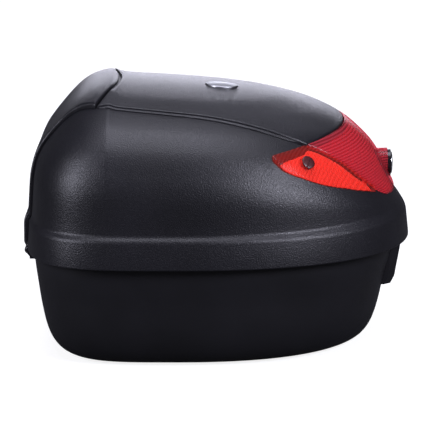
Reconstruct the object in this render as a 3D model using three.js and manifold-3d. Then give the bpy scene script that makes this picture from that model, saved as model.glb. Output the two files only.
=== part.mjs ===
// Motorcycle top case: a moulded base and a domed lid with a wrap-around red lens,
// joined by two front hinges and held by a push-button lock at the rear.
// Millimetres. +X is the rear of the motorcycle, +Y its left side, +Z up.
// The origin is the centre of the footprint on the resting plane.

import * as THREE from 'three';
import { mergeVertices } from 'three/addons/utils/BufferGeometryUtils.js';
import Module from 'manifold-3d';

const wasm = await Module();
wasm.setup();

// ---------------------------------------------------------------- driving dimensions
const GAP = 0.3;                    // clearance between pieces that touch
const WALL = 3;                     // moulded wall
const CENTRE_X = 4.25;              // bounding-box centre, moved to X = 0 at the end
const WIDEST_X = -38;               // station where the plan outline is widest
const FRONT_POWER = 4;              // plan superellipse ahead of the widest station
const REAR_POWER = 2.3;            // and behind it

// plan outlines as [front semi-axis, rear semi-axis, half width]
const SKIRT_LOW = [153.5, 240, 190];
const SKIRT_HIGH = [152, 237, 185.5];
const LID_FOOT = [149, 231, 181];
const BASE_RIM = [147, 224, 180];

const SKIRT_LOW_Z = 105;
const SKIRT_HIGH_Z = 132.5;
const FOOT_Z = 137;
const FOOT_REAR_RISE = 5;
const CREST_Z = 264.3;
const CREST_X = -105;
const CREST_STEP = 3.6;             // the top cover lies lower than the backrest
const STEP_LENGTH = 6;
const CREST_FALL = 0.0455;
const CREST_BOW = 0.00013;
const SIDE_BOW = 0.0007;            // the top also falls towards the sides
const SEAL_Z = 128;                 // top of the base rim
const LID_SEAL_Z = 133.3;           // underside of the lid's inner step

const COVER_RISE = 3;               // raised top cover and lens, above the lid shell
const BACKREST_RISE = [2.8, 5.4];   // at the middle and at its side edges
const BACKREST_FACE_X = -193.5;     // flat lower face of the backrest, the front of the case
const GROOVE = { front: -118, bow: 20, half: 105, halfWidth: 1.5 };

// half widths, against distance from the groove: back to the lens, and down to the hinge line
const COVER_SIDE = [[0, 105], [0.12, 107.5], [0.25, 111], [0.5, 115.5], [0.75, 120], [0.88, 121], [1, 118.8]];
const BACKREST_SIDE = [[0, 104], [0.1, 95], [0.2, 87], [0.32, 79], [0.45, 75], [0.6, 77], [0.8, 83], [1, 88]];

const HINGE = { x: -189.3, z: 101, barrel: 4.2, pin: 1.8, bore: 2.1, y: 62 };
const HINGE_SCREW = { z: 94.2, spread: 8 };
const LOCK = { z: 175.2, hood: 15.4, barrel: 13, bore: 12.1, cap: 11.8, ringX: 179.6 };
const LATCH = { x: 148, z: 138, pin: 2, bore: 2.3 };
const STRIKER = { half: 17, screwY: 14, screwZ: 116 };
const COVER_SCREW = { y: 14, z: 186 };
const TAB = { x: 184.6, z: 80, halfWidth: 26, barrel: 3.4, pin: 1.6, bore: 1.9 };
const BOLT_X = 120;
const BADGE = { x: 7, radius: 16.5 };
const LENS_SCREW = { x: 92, y: -136, head: 6.9, well: 7.5, depth: 1.4 };
const WING_EDGE_RISE = 1.2;         // the wing lens thins towards its lower edge
const REFLECTOR = [-5.7, -1];       // faces of the reflectors, measured from the lid's surface
const POCKET = { low: [-70, -62, -1], high: [132, 62, 6] };

const SPOKES = 40;                  // points around each ring of the big shells

// ---------------------------------------------------------------- materials
const plastic = (color, roughness) => new THREE.MeshStandardMaterial({ color, roughness, metalness: 0 });
const metal = (color, roughness) => new THREE.MeshStandardMaterial({ color, roughness, metalness: 1 });
const lensMaterial = (color) => new THREE.MeshStandardMaterial({
  color,
  roughness: 0.08,
  opacity: 0.75,
  transparent: true,
});

// ---------------------------------------------------------------- solid tools
const object = new THREE.Group();

function asSolid(geometry) {
  const bare = new THREE.BufferGeometry();
  bare.setAttribute('position', geometry.getAttribute('position').clone());
  if (geometry.index) bare.setIndex(geometry.index.clone());
  const merged = mergeVertices(bare, 1e-4);
  const points = merged.getAttribute('position').array;
  const corners = new Uint32Array(merged.index.array);
  if (signedVolume(points, corners) < 0) corners.reverse();
  return new wasm.Manifold(new wasm.Mesh({
    numProp: 3,
    vertProperties: new Float32Array(points),
    triVerts: corners,
  }));
}

function signedVolume(points, corners) {
  const [a, b, c] = [new THREE.Vector3(), new THREE.Vector3(), new THREE.Vector3()];
  let total = 0;
  for (let i = 0; i < corners.length; i += 3) {
    a.fromArray(points, corners[i] * 3);
    b.fromArray(points, corners[i + 1] * 3);
    c.fromArray(points, corners[i + 2] * 3);
    total += a.dot(b.cross(c)) / 6;
  }
  return total;
}

function asGeometry(solid) {
  const mesh = solid.getMesh();
  const geometry = new THREE.BufferGeometry();
  geometry.setAttribute('position', new THREE.BufferAttribute(new Float32Array(mesh.vertProperties), 3));
  geometry.setIndex(new THREE.BufferAttribute(new Uint32Array(mesh.triVerts), 1));
  return geometry;
}

function add(name, solid, material) {
  const mesh = new THREE.Mesh(asGeometry(solid), material);
  mesh.name = name;
  object.add(mesh);
}

function box(low, high) {
  const size = high.map((value, axis) => value - low[axis]);
  const geometry = new THREE.BoxGeometry(...size);
  geometry.translate(...low.map((value, axis) => value + size[axis] / 2));
  return asSolid(geometry);
}

// turned piece: profile points are [distance along the axis, radius]
function turned(profile, axis, centre, segments = 24) {
  const points = profile.map(([along, radius]) => new THREE.Vector2(radius, along));
  const geometry = new THREE.LatheGeometry(points, segments);
  if (axis === 'x') geometry.rotateZ(-Math.PI / 2);
  if (axis === 'z') geometry.rotateX(Math.PI / 2);
  geometry.translate(...centre);
  return asSolid(geometry);
}

function rod(axis, centre, from, to, radius, segments = 24) {
  return turned([[from, 0], [from, radius], [to, radius], [to, 0]], axis, centre, segments);
}

// flat outline in X and Z, given a thickness across Y
function plate(outline, fromY, toY) {
  const shape = new THREE.Shape(outline.map(([x, z]) => new THREE.Vector2(x, z)));
  const geometry = new THREE.ExtrudeGeometry(shape, { depth: toY - fromY, bevelEnabled: false });
  geometry.rotateX(Math.PI / 2);
  geometry.translate(0, toY, 0);
  return asSolid(geometry);
}

function spring(axis, centre, from, to, radius, wire, turns) {
  const points = [];
  const steps = turns * 8;
  for (let i = 0; i <= steps; i += 1) {
    const angle = (i / 8) * Math.PI * 2;
    const along = from + wire + (to - from - 2 * wire) * (i / steps);
    const [a, b] = [radius * Math.cos(angle), radius * Math.sin(angle)];
    const local = axis === 'x' ? [along, a, b] : [a, b, along];
    points.push(new THREE.Vector3(...local.map((value, k) => value + centre[k])));
  }
  const section = new THREE.Shape();
  section.absarc(0, 0, wire, 0, Math.PI * 2, false);
  return asSolid(new THREE.ExtrudeGeometry(section, {
    steps,
    curveSegments: 3,
    bevelEnabled: false,
    extrudePath: new THREE.CatmullRomCurve3(points),
  }));
}

// ---------------------------------------------------------------- the curved body
function power(value, exponent) {
  return Math.sign(value) * Math.abs(value) ** exponent;
}

function onOutline([front, rear, half], angle) {
  const [c, s] = [Math.cos(angle), Math.sin(angle)];
  const exponent = 2 / (c < 0 ? FRONT_POWER : REAR_POWER);
  return [WIDEST_X + (c < 0 ? front : rear) * power(c, exponent), half * power(s, exponent)];
}

const grow = (outline, amount) => outline.map((value) => value + amount);

// height of the lid as a fraction of its rise, against distance from the middle (1 at the foot)
const FRONT_RISE = [[0, 1], [0.47, 1], [0.556, 0.982], [0.61, 0.955], [0.66, 0.918], [0.713, 0.862],
  [0.764, 0.795], [0.8215, 0.712], [0.878, 0.625], [0.933, 0.525], [0.98, 0.34], [1, 0]];
const SIDE_RISE = [[0, 1], [0.4, 0.998], [0.6, 0.979], [0.75, 0.914], [0.867, 0.778], [0.94, 0.588],
  [0.985, 0.34], [1, 0]];
const REAR_RISE = [[0, 1], [0.102, 0.999], [0.397, 0.985], [0.588, 0.917], [0.731, 0.797],
  [0.8485, 0.585], [0.885, 0.478], [0.922, 0.31], [0.9697, 0.1], [1, 0]];

// monotone cubic through the rise points
function smoothRise(points, at) {
  const slopes = [];
  for (let i = 0; i + 1 < points.length; i += 1) {
    slopes.push((points[i + 1][1] - points[i][1]) / (points[i + 1][0] - points[i][0]));
  }
  const tangent = (i) => {
    if (i === 0) return slopes[0];
    if (i === slopes.length) return slopes[i - 1];
    const [before, after] = [slopes[i - 1], slopes[i]];
    if (before * after <= 0) return 0;
    const [h0, h1] = [points[i][0] - points[i - 1][0], points[i + 1][0] - points[i][0]];
    const [w0, w1] = [2 * h1 + h0, h1 + 2 * h0];
    return (w0 + w1) / (w0 / before + w1 / after);
  };
  let k = 0;
  while (k < slopes.length - 1 && at > points[k + 1][0]) k += 1;
  const step = points[k + 1][0] - points[k][0];
  const t = Math.min(Math.max((at - points[k][0]) / step, 0), 1);
  const blend = (1 + 2 * t) * (1 - t) ** 2 * points[k][1] + t * t * (3 - 2 * t) * points[k + 1][1];
  return blend + step * (t * (1 - t) ** 2 * tangent(k) + t * t * (t - 1) * tangent(k + 1));
}

// height of the lid along its middle: a small step down behind the groove, then a long fall
function crestHeight(x) {
  const back = Math.max(x - CREST_X, 0);
  const step = CREST_STEP * (1 - Math.exp(-back / STEP_LENGTH));
  return CREST_Z - step - CREST_FALL * back - CREST_BOW * back * back;
}

// height of the lid surface, raised by rise, over a plan point
function lidHeight(x, y, rise) {
  const ahead = x < WIDEST_X;
  const [front, rear, half] = grow(LID_FOOT, rise);
  const exponent = ahead ? FRONT_POWER : REAR_POWER;
  const u = (Math.abs(x - WIDEST_X) / (ahead ? front : rear)) ** exponent;
  const v = (Math.abs(y) / half) ** exponent;
  const reach = Math.min((u + v) ** (1 / exponent), 1);
  const endShare = u + v > 1e-9 ? u / (u + v) : 0;
  const side = smoothRise(SIDE_RISE, reach);
  const end = smoothRise(ahead ? FRONT_RISE : REAR_RISE, reach);
  const share = side + (end - side) * endShare;
  const foot = FOOT_Z + (ahead ? 0 : FOOT_REAR_RISE * endShare);
  return foot + (crestHeight(x) + rise - SIDE_BOW * y * y - foot) * share;
}

function lidRing(rise, reach) {
  const ring = [];
  for (let i = 0; i < SPOKES; i += 1) {
    const outline = grow(LID_FOOT, rise).map((value) => value * reach);
    const [x, y] = onOutline(outline, (i / SPOKES) * Math.PI * 2);
    ring.push([x, y, lidHeight(x, y, rise)]);
  }
  return ring;
}

function flatRing(outline, z) {
  const ring = [];
  for (let i = 0; i < SPOKES; i += 1) {
    const [x, y] = onOutline(outline, (i / SPOKES) * Math.PI * 2);
    ring.push([x, y, z]);
  }
  return ring;
}

// skin over rings that run from the top outside to the top inside; ends close to a centre point
function skin(rings, closed = false) {
  const vertices = rings.flat();
  const count = SPOKES;
  const faces = [];
  const last = closed ? rings.length : rings.length - 1;
  for (let r = 0; r < last; r += 1) {
    const next = (r + 1) % rings.length;
    for (let i = 0; i < count; i += 1) {
      const j = (i + 1) % count;
      const [a, b, c, d] = [r * count + i, r * count + j, next * count + j, next * count + i];
      faces.push(a, d, c, a, c, b);
    }
  }
  if (!closed) {
    for (const [ring, flip] of [[0, false], [rings.length - 1, true]]) {
      const average = (sum, point) => sum.map((value, k) => value + point[k] / count);
      const centre = rings[ring].reduce(average, [0, 0, 0]);
      centre[0] = WIDEST_X;
      const middle = vertices.push(centre) - 1;
      for (let i = 0; i < count; i += 1) {
        const [a, b] = [ring * count + i, ring * count + ((i + 1) % count)];
        faces.push(...(flip ? [middle, b, a] : [middle, a, b]));
      }
    }
  }
  const geometry = new THREE.BufferGeometry();
  geometry.setAttribute('position', new THREE.Float32BufferAttribute(vertices.flat(), 3));
  geometry.setIndex(faces);
  return asSolid(geometry);
}

// thin piece between two surfaces: lower and upper give a point for u and v from 0 to 1
function slab(lower, upper, us, vs) {
  const [nu, nv] = [us.length, vs.length];
  const vertices = [];
  for (const surface of [upper, lower]) {
    for (const v of vs) for (const u of us) vertices.push(surface(u, v));
  }
  const at = (side, i, j) => side * nu * nv + j * nu + i;
  const faces = [];
  const quad = (a, b, c, d) => faces.push(a, b, c, a, c, d);
  for (let j = 0; j + 1 < nv; j += 1) {
    for (let i = 0; i + 1 < nu; i += 1) {
      quad(at(0, i, j), at(0, i + 1, j), at(0, i + 1, j + 1), at(0, i, j + 1));
      quad(at(1, i, j), at(1, i, j + 1), at(1, i + 1, j + 1), at(1, i + 1, j));
    }
  }
  for (let i = 0; i + 1 < nu; i += 1) {
    quad(at(0, i, 0), at(1, i, 0), at(1, i + 1, 0), at(0, i + 1, 0));
    quad(at(0, i, nv - 1), at(0, i + 1, nv - 1), at(1, i + 1, nv - 1), at(1, i, nv - 1));
  }
  for (let j = 0; j + 1 < nv; j += 1) {
    quad(at(0, 0, j), at(0, 0, j + 1), at(1, 0, j + 1), at(1, 0, j));
    quad(at(0, nu - 1, j), at(1, nu - 1, j), at(1, nu - 1, j + 1), at(0, nu - 1, j + 1));
  }
  const geometry = new THREE.BufferGeometry();
  geometry.setAttribute('position', new THREE.Float32BufferAttribute(vertices.flat(), 3));
  geometry.setIndex(faces);
  return asSolid(geometry);
}

const even = (count) => Array.from({ length: count + 1 }, (_, i) => i / count);
const mix = (a, b, t) => a + (b - a) * t;
const mirrored = (solid) => solid.mirror([0, 1, 0]);

// smooth curve through plan points, read at t from 0 to 1
function planCurve(points) {
  const knots = points.map(([x, y]) => new THREE.Vector3(x, y, 0));
  const curve = new THREE.CatmullRomCurve3(knots, false, 'centripetal');
  return (t) => {
    const p = curve.getPointAt(Math.min(Math.max(t, 0), 1));
    return [p.x, p.y];
  };
}

// plan region between two curves: v runs from the first to the second
const between = (first, second) => (u, v) => first(u).map((value, axis) => mix(value, second(u)[axis], v));

// middle part of a plan region
function within(plan, [fromU, toU], [fromV, toV]) {
  return (u, v) => plan(mix(fromU, toU, u), mix(fromV, toV, v));
}

// plan region lifted onto the lid between two rises; high may change across the region
function lidSlab(plan, low, high, us, vs) {
  const surface = (rise) => (u, v) => {
    const [x, y] = plan(u, v);
    return [x, y, lidHeight(x, y, rise(v))];
  };
  const upper = typeof high === 'function' ? high : () => high;
  return slab(surface(() => low), surface(upper), us, vs);
}

// ---------------------------------------------------------------- base
const BASE_LEVELS = [
  // height, then how far the front, side and rear lie inside the rim outline
  [0, 39, 38, 44],
  [3, 28, 26, 32.5],
  [10, 19, 17, 24.5],
  [22, 12.5, 11.5, 18.5],
  [40, 8, 7.5, 13.5],
  [65, 4, 4.5, 8.5],
  [102, 0, 0, 0],
  [SEAL_Z, -0.5, -0.5, -0.5],
];

function baseSolid(inset, lift, top) {
  const rings = BASE_LEVELS.map(([z, front, side, rear]) => flatRing(
    [BASE_RIM[0] - front - inset, BASE_RIM[1] - rear - inset, BASE_RIM[2] - side - inset],
    Math.max(z, 0) + (z < top ? lift * (1 - z / SEAL_Z) : 0),
  ));
  rings[rings.length - 1].forEach((point) => { point[2] = top; });
  return skin(rings.reverse());
}

const baseOuter = baseSolid(0, 0, SEAL_Z);
const baseClear = baseSolid(-GAP, 0, SEAL_Z);
const baseCavity = baseSolid(WALL, 3.5, SEAL_Z + 5);
const cavityFit = baseSolid(WALL + GAP, 3.5 + GAP, SEAL_Z + 5);

const floorBlock = box([-84, -67, 0], [137, 67, 9.5]);
let base = baseOuter.subtract(baseCavity.subtract(floorBlock));
base = base.subtract(box(POCKET.low, POCKET.high));
for (const side of [-1, 1]) {
  base = base.subtract(box([-80, side * 42 - 12, 1.5], [-69, side * 42 + 12, 6]));
}
const hingeScrewHole = (y) => rod('x', [0, y, HINGE_SCREW.z], -187.6, -170, 1.9, 12);
for (const side of [-1, 1]) {
  for (const end of [-1, 1]) {
    base = base.subtract(hingeScrewHole(side * HINGE.y + end * HINGE_SCREW.spread));
  }
}
const strikerScrewPlace = (side) => [0, side * STRIKER.screwY, STRIKER.screwZ];
const strikerScrewHole = (side) => rod('x', strikerScrewPlace(side), 178, 186.2, 1.9, 12);
base = base.subtract(strikerScrewHole(-1)).subtract(strikerScrewHole(1));
const boltHole = box([BOLT_X - 6.5, -8.5, 5], [BOLT_X + 6.5, 8.5, 12]);
const armSlot = box([160, -6, TAB.z - 7], [190, 6, TAB.z + 10]);
base = base.subtract(boltHole).subtract(armSlot);
add('base_shell', base, plastic(0x17181a, 0.55));

const gasketRings = [
  flatRing(grow(BASE_RIM, 0.3), SEAL_Z + GAP),
  flatRing(grow(BASE_RIM, -2.2), SEAL_Z + GAP),
  flatRing(grow(BASE_RIM, -1.9), SEAL_Z + 4.6),
  flatRing(grow(BASE_RIM, -0.2), SEAL_Z + 4.6),
];
add('rim_gasket', skin(gasketRings, true), plastic(0x0c0c0d, 0.9));

// ---------------------------------------------------------------- lid shell
const OUTER_REACH = [0.2, 0.4, 0.55, 0.68, 0.78, 0.86, 0.915, 0.955, 0.985, 1];
const INNER_REACH = [1, 0.97, 0.92, 0.85, 0.75, 0.6, 0.3];
const lidRings = [
  ...OUTER_REACH.map((reach) => lidRing(0, reach)),
  flatRing(SKIRT_HIGH, SKIRT_HIGH_Z),
  flatRing(SKIRT_LOW, SKIRT_LOW_Z),
  flatRing(grow(SKIRT_LOW, -WALL), SKIRT_LOW_Z),
  flatRing(grow(SKIRT_HIGH, -WALL), LID_SEAL_Z),
  flatRing(grow(LID_FOOT, -WALL - 0.6), LID_SEAL_Z),
  ...INNER_REACH.map((reach) => lidRing(-WALL, reach)),
];
let lid = skin(lidRings);
const lidFit = skin([
  flatRing(grow(LID_FOOT, -WALL - 0.6 - GAP), 90),
  ...INNER_REACH.map((reach) => lidRing(-WALL - GAP, reach)),
]);

// everything under the lid's outer face, with clearance, for pieces that lie on it
const lidUnder = skin([
  ...OUTER_REACH.map((reach) => lidRing(GAP, reach)),
  flatRing(grow(SKIRT_HIGH, GAP), SKIRT_HIGH_Z + GAP),
  flatRing(grow(SKIRT_LOW, GAP), SKIRT_LOW_Z),
  flatRing(grow(SKIRT_LOW, GAP), SKIRT_LOW_Z - 20),
]);

// ---------------------------------------------------------------- lens outlines in plan
const bothSides = (points) => {
  const half = points.slice(0, -1).reverse();
  return [...points, ...half.map(([x, y]) => [x, -y])];
};
const upperEdge = planCurve(bothSides([[91.4, -118.8], [104, -103], [118, -78], [128, -50], [134, 0]]));
const lowerEdge = planCurve(bothSides([[161.6, -86.2], [173, -70], [181, -47], [185.5, -20], [186, 0]]));
const sideEdge = planCurve([[91.4, -118.8], [120.8, -110.7], [143.6, -100.3], [161.6, -86.2]]);
const ridgeEdge = planCurve([[56, -147], [74, -134.4], [90.4, -120.4], [92.4, -119.7], [121, -111.8],
  [144, -101.4], [161.4, -87.6]]);
const wingEdge = planCurve([[57, -148.6], [66, -150.4], [76, -149], [87, -145.9], [98, -142], [109, -136.9],
  [120, -130.2], [131.5, -121.6], [143, -111.4], [154.4, -98.5], [162, -87.8]]);

// four-sided patch between the upper and lower edges, its sides along the wings' ridges
function centrePlan(u, v) {
  const across = between(upperEdge, lowerEdge);
  const [point, right, left, side] = [across(u, v), across(0, v), across(1, v), sideEdge(v)];
  return [
    point[0] + (1 - u) * (side[0] - right[0]) + u * (side[0] - left[0]),
    point[1] + (1 - u) * (side[1] - right[1]) - u * (side[1] + left[1]),
  ];
}
const wingPlan = between(wingEdge, ridgeEdge);
const wingRise = (v) => mix(WING_EDGE_RISE, COVER_RISE, Math.min(2 * v, 1));

const centreLens = lidSlab(centrePlan, -1, COVER_RISE, even(14), even(7)).subtract(lidUnder);
const centreReflector = lidSlab(centrePlan, ...REFLECTOR, even(10), even(4));
const wingLens = lidSlab(wingPlan, -1, wingRise, even(12), even(4));
const wingReflector = lidSlab(within(wingPlan, [0.1, 0.96], [0, 1]), ...REFLECTOR, even(8), even(2));

// openings in the lid behind the lenses
const windowCentre = lidSlab(within(centrePlan, [0.07, 0.93], [0.12, 0.88]), -9, 5, even(8), even(3));
const windowWing = lidSlab(within(wingPlan, [0.1, 0.93], [0.12, 0.82]), -9, 5, even(6), even(1));
lid = lid.subtract(windowCentre).subtract(windowWing).subtract(mirrored(windowWing));

// lid half of the hinges: one barrel each, between the two base barrels
for (const side of [-1, 1]) {
  const y = side * HINGE.y;
  const notch = box([-204, y - 21, 96], [-184, y + 21, SKIRT_LOW_Z + 1.2]);
  lid = lid.subtract(notch);
  const barrel = rod('y', [HINGE.x, y, HINGE.z], -6, 6, HINGE.barrel);
  const web = box([-189.2, y - 6, HINGE.z], [-186, y + 6, SKIRT_LOW_Z + 4]);
  const bore = rod('y', [HINGE.x, y, HINGE.z], -8, 8, HINGE.bore, 16);
  lid = lid.add(barrel).add(web).subtract(bore);
}
lid = lid.subtract(rod('x', [0, 0, LOCK.z], 120, 195, 14.3));
add('lid_shell', lid, plastic(0x1b1c1e, 0.5));

// ---------------------------------------------------------------- raised top cover and backrest
function grooveX(y) {
  return GROOVE.front + GROOVE.bow * (1 - (y / GROOVE.half) ** 2);
}

function topCoverPoint(rise) {
  return (u, v) => {
    const edge = upperEdge(u);
    const startY = mix(-GROOVE.half, GROOVE.half, u);
    const straightSide = mix(COVER_SIDE[0][1], COVER_SIDE[COVER_SIDE.length - 1][1], v);
    const x = mix(grooveX(startY) + GROOVE.halfWidth, edge[0] - 0.5 - GAP, v);
    const y = mix(startY, edge[1], v) * smoothRise(COVER_SIDE, v) / straightSide;
    return [x, y, lidHeight(x, y, rise)];
  };
}
let topCover = slab(topCoverPoint(-1), topCoverPoint(COVER_RISE), even(12), even(10)).subtract(lidUnder);

const badgeTilt = Math.atan(CREST_FALL + 2 * CREST_BOW * (BADGE.x - CREST_X));
function badgeTurned(profile) {
  const points = profile.map(([along, radius]) => new THREE.Vector2(radius, along));
  const geometry = new THREE.LatheGeometry(points, 32);
  geometry.rotateX(Math.PI / 2);
  geometry.rotateY(badgeTilt);
  geometry.translate(BADGE.x, 0, crestHeight(BADGE.x) + COVER_RISE);
  return asSolid(geometry);
}
const wellRadius = BADGE.radius + 0.5;
const badgeWell = badgeTurned([[-1.6, 0], [-1.6, wellRadius], [4, wellRadius], [4, 0]]);
topCover = topCover.subtract(badgeWell);
add('top_cover', topCover, plastic(0x1d1e20, 0.5));
const badgeProfile = [[-1.3, 0], [-1.3, BADGE.radius], [0.6, BADGE.radius], [1.4, BADGE.radius - 1.2],
  [1.9, BADGE.radius * 0.6], [2.1, 0]];
add('badge', badgeTurned(badgeProfile), metal(0xc9ccd0, 0.25));

function backrestPoint(lift) {
  const frontOf = (outline, y) => {
    const share = Math.min(Math.abs(y) / outline[2], 1) ** FRONT_POWER;
    return WIDEST_X - outline[0] * (1 - share) ** (1 / FRONT_POWER);
  };
  return (u, v) => {
    const y = mix(-1, 1, u) * smoothRise(BACKREST_SIDE, v);
    const rise = lift < 0 ? lift : mix(...BACKREST_RISE, (y / GROOVE.half) ** 2);
    if (v <= 0.8) {
      const start = grooveX(y) - GROOVE.halfWidth;
      const slide = Math.sin((v / 0.8) * Math.PI / 2);
      const x = mix(start, frontOf(grow(LID_FOOT, rise), y), slide);
      return [x, y, lidHeight(x, y, rise)];
    }
    const low = v > 0.95;
    if (lift < 0) {
      const wall = grow(low ? SKIRT_LOW : SKIRT_HIGH, lift);
      return [frontOf(wall, y), y, low ? SKIRT_LOW_Z + 2 : SKIRT_HIGH_Z];
    }
    if (v < 0.87) return [BACKREST_FACE_X + 0.8, y, SKIRT_HIGH_Z + 2.5];
    return [BACKREST_FACE_X + (low ? 1.4 : 0), y, low ? SKIRT_LOW_Z + 2 : SKIRT_LOW_Z + 6];
  };
}
const backrestRows = [...even(10).map((v) => v * 0.8), 0.85, 0.92, 1];
const backrest = slab(backrestPoint(-1), backrestPoint(1), even(12), backrestRows);
add('backrest_panel', backrest.subtract(lidUnder), plastic(0x1b1c1e, 0.5));

// ---------------------------------------------------------------- lenses, reflectors, screws
const hood = rod('x', [0, 0, LOCK.z], 150, LOCK.ringX - GAP, LOCK.hood, 32);
const throat = rod('x', [0, 0, LOCK.z], 120, 195, LOCK.barrel + 0.4, 32);
const ringSeat = rod('x', [0, 0, LOCK.z], LOCK.ringX - GAP, 195, 14.3, 32);
const lensWithHood = centreLens.add(hood.subtract(lidUnder)).subtract(throat).subtract(ringSeat);
add('centre_lens', lensWithHood, lensMaterial(0xb3152a));
add('centre_reflector', centreReflector.intersect(lidFit).subtract(throat), plastic(0x5a0d18, 0.3));

const { x: screwX, y: screwY } = LENS_SCREW;
const screwZ = lidHeight(screwX, screwY, COVER_RISE);
const slopeX = lidHeight(screwX + 1, screwY, COVER_RISE) - lidHeight(screwX - 1, screwY, COVER_RISE);
const slopeY = lidHeight(screwX, screwY + 1, COVER_RISE) - lidHeight(screwX, screwY - 1, COVER_RISE);
const screwNormal = new THREE.Vector3(-slopeX / 2, -slopeY / 2, 1).normalize();
function screwTurned(profile, side, segments = 20) {
  const points = profile.map(([along, radius]) => new THREE.Vector2(radius, along));
  const geometry = new THREE.LatheGeometry(points, segments);
  const aim = new THREE.Vector3(screwNormal.x, -side * screwNormal.y, screwNormal.z);
  geometry.applyQuaternion(new THREE.Quaternion().setFromUnitVectors(new THREE.Vector3(0, 1, 0), aim));
  geometry.translate(screwX, -side * screwY, screwZ);
  return asSolid(geometry);
}
const { head, well, depth } = LENS_SCREW;
const wells = (side) => screwTurned([[-depth, 0], [-depth, well], [6, well], [6, 0]], side);
const shankHole = (side) => screwTurned([[-14, 0], [-14, 2.4], [2, 2.4], [2, 0]], side, 12);
const boss = (side) => screwTurned([[-9, 0], [-9, 5], [-4.4, 5], [-4.4, 0]], side, 12);
const screwProfile = [[-10, 0], [-10, 2], [-1.1, 2], [-1.1, head], [0.2, head], [0.7, 4.6], [0.7, 0]];
for (const [side, word] of [[-1, 'right'], [1, 'left']]) {
  const place = (solid) => (side < 0 ? solid : mirrored(solid));
  const lens = place(wingLens).subtract(lidUnder).subtract(wells(side)).subtract(shankHole(side));
  add(`side_lens_${word}`, lens, lensMaterial(0xe2321f));
  const reflector = place(wingReflector).intersect(lidFit).add(boss(side)).subtract(shankHole(side));
  add(`side_reflector_${word}`, reflector, plastic(0x6a0f14, 0.3));
  add(`lens_screw_${word}`, screwTurned(screwProfile, side), plastic(0x3a0d10, 0.35));
}

// ---------------------------------------------------------------- lock and latch, on the lid
const barrelProfile = [[147.3, 7.4], [150, 7.4], [150, LOCK.bore], [183, LOCK.bore], [183, 13.9],
  [LOCK.ringX, 13.9], [LOCK.ringX, LOCK.barrel], [147.3, LOCK.barrel], [147.3, 7.4]];
add('lock_barrel', turned(barrelProfile, 'x', [0, 0, LOCK.z], 28), plastic(0x101012, 0.35));

const buttonProfile = [[146.3, 0], [146.3, 2.5], [151, 2.5], [152.5, 7], [172, 7], [172, LOCK.cap],
  [183.4, LOCK.cap], [184.6, 9.5], [184.9, 6.4], [174, 6.4], [174, 0]];
add('lock_button', turned(buttonProfile, 'x', [0, 0, LOCK.z], 28), metal(0xd4d6d8, 0.18));
const plugProfile = [[174.4, 0], [174.4, 6], [184.9, 6], [185.1, 5.2], [185.1, 0]];
const plug = turned(plugProfile, 'x', [0, 0, LOCK.z]);
const keySlot = box([180, -0.7, LOCK.z - 3.6], [190, 0.7, LOCK.z + 3.6]);
add('key_plug', plug.subtract(keySlot), metal(0xb4b7ba, 0.3));
add('button_spring', spring('x', [0, 0, LOCK.z], 150.4, 171.6, 9.3, 0.8, 4), metal(0x9a9da0, 0.35));

const housingBox = box([129.4, -19, 126], [158, 19, 192]);
const leverSlot = box([135.5, -5.6, 120], [160, 5.6, 184]);
const housing = housingBox
  .subtract(rod('x', [0, 0, LOCK.z], 141.5, 170, LOCK.barrel + GAP, 28))
  .subtract(leverSlot)
  .subtract(rod('y', [LATCH.x, 0, LATCH.z], -25, 25, LATCH.bore, 16));
const reflectorClear = lidSlab(centrePlan, REFLECTOR[0] - 1.5 * GAP, 8, even(10), even(4));
const coverScrewPlace = (side) => [0, side * COVER_SCREW.y, COVER_SCREW.z];
const coverScrewHole = (side) => rod('x', coverScrewPlace(side), 120, 138, 1.9, 12);
const coverScrewHoles = coverScrewHole(-1).add(coverScrewHole(1));
const lockHousing = housing.subtract(reflectorClear).subtract(coverScrewHoles);
add('lock_housing', lockHousing.intersect(lidFit), plastic(0x242528, 0.6));
add('hook_pin', rod('y', [LATCH.x, 0, LATCH.z], -18.6, 18.6, LATCH.pin, 16), metal(0x9a9da0, 0.35));

const hookOutline = [[141.4, 180], [145.8, 180], [145.8, 157], [152.5, 146], [152.5, 139], [160, 128],
  [172, 119], [175.5, 116], [175.5, 100], [167.5, 100], [167.5, 103.6], [170.5, 104.6], [170.5, 113],
  [156, 121], [144, 133], [142.5, 142]];
const hookBore = rod('y', [LATCH.x, 0, LATCH.z], -8, 8, LATCH.bore, 16);
add('latch_hook', plate(hookOutline, -5, 5).subtract(hookBore), metal(0xa2a5a8, 0.4));

const coverShell = box([126, -24, 122.5], [190, 24, 197]).subtract(box([129, -21, 110], [200, 21, 194]));
const sealClear = box([177, -30, 100], [200, 30, LID_SEAL_Z + 5]);
const lockCover = coverShell.intersect(lidFit).subtract(reflectorClear).subtract(sealClear);
add('lock_cover', lockCover.subtract(coverScrewHoles), plastic(0x1c1d1f, 0.6));
for (const [side, word] of [[-1, 'right'], [1, 'left']]) {
  const profile = [[124.1, 0], [124.1, 3], [125.7, 3.6], [125.7, 1.6], [137, 1.6], [137, 0]];
  const screw = turned(profile, 'x', coverScrewPlace(side), 12);
  add(`lock_cover_screw_${word}`, screw, metal(0x2c2d30, 0.5));
}

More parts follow.
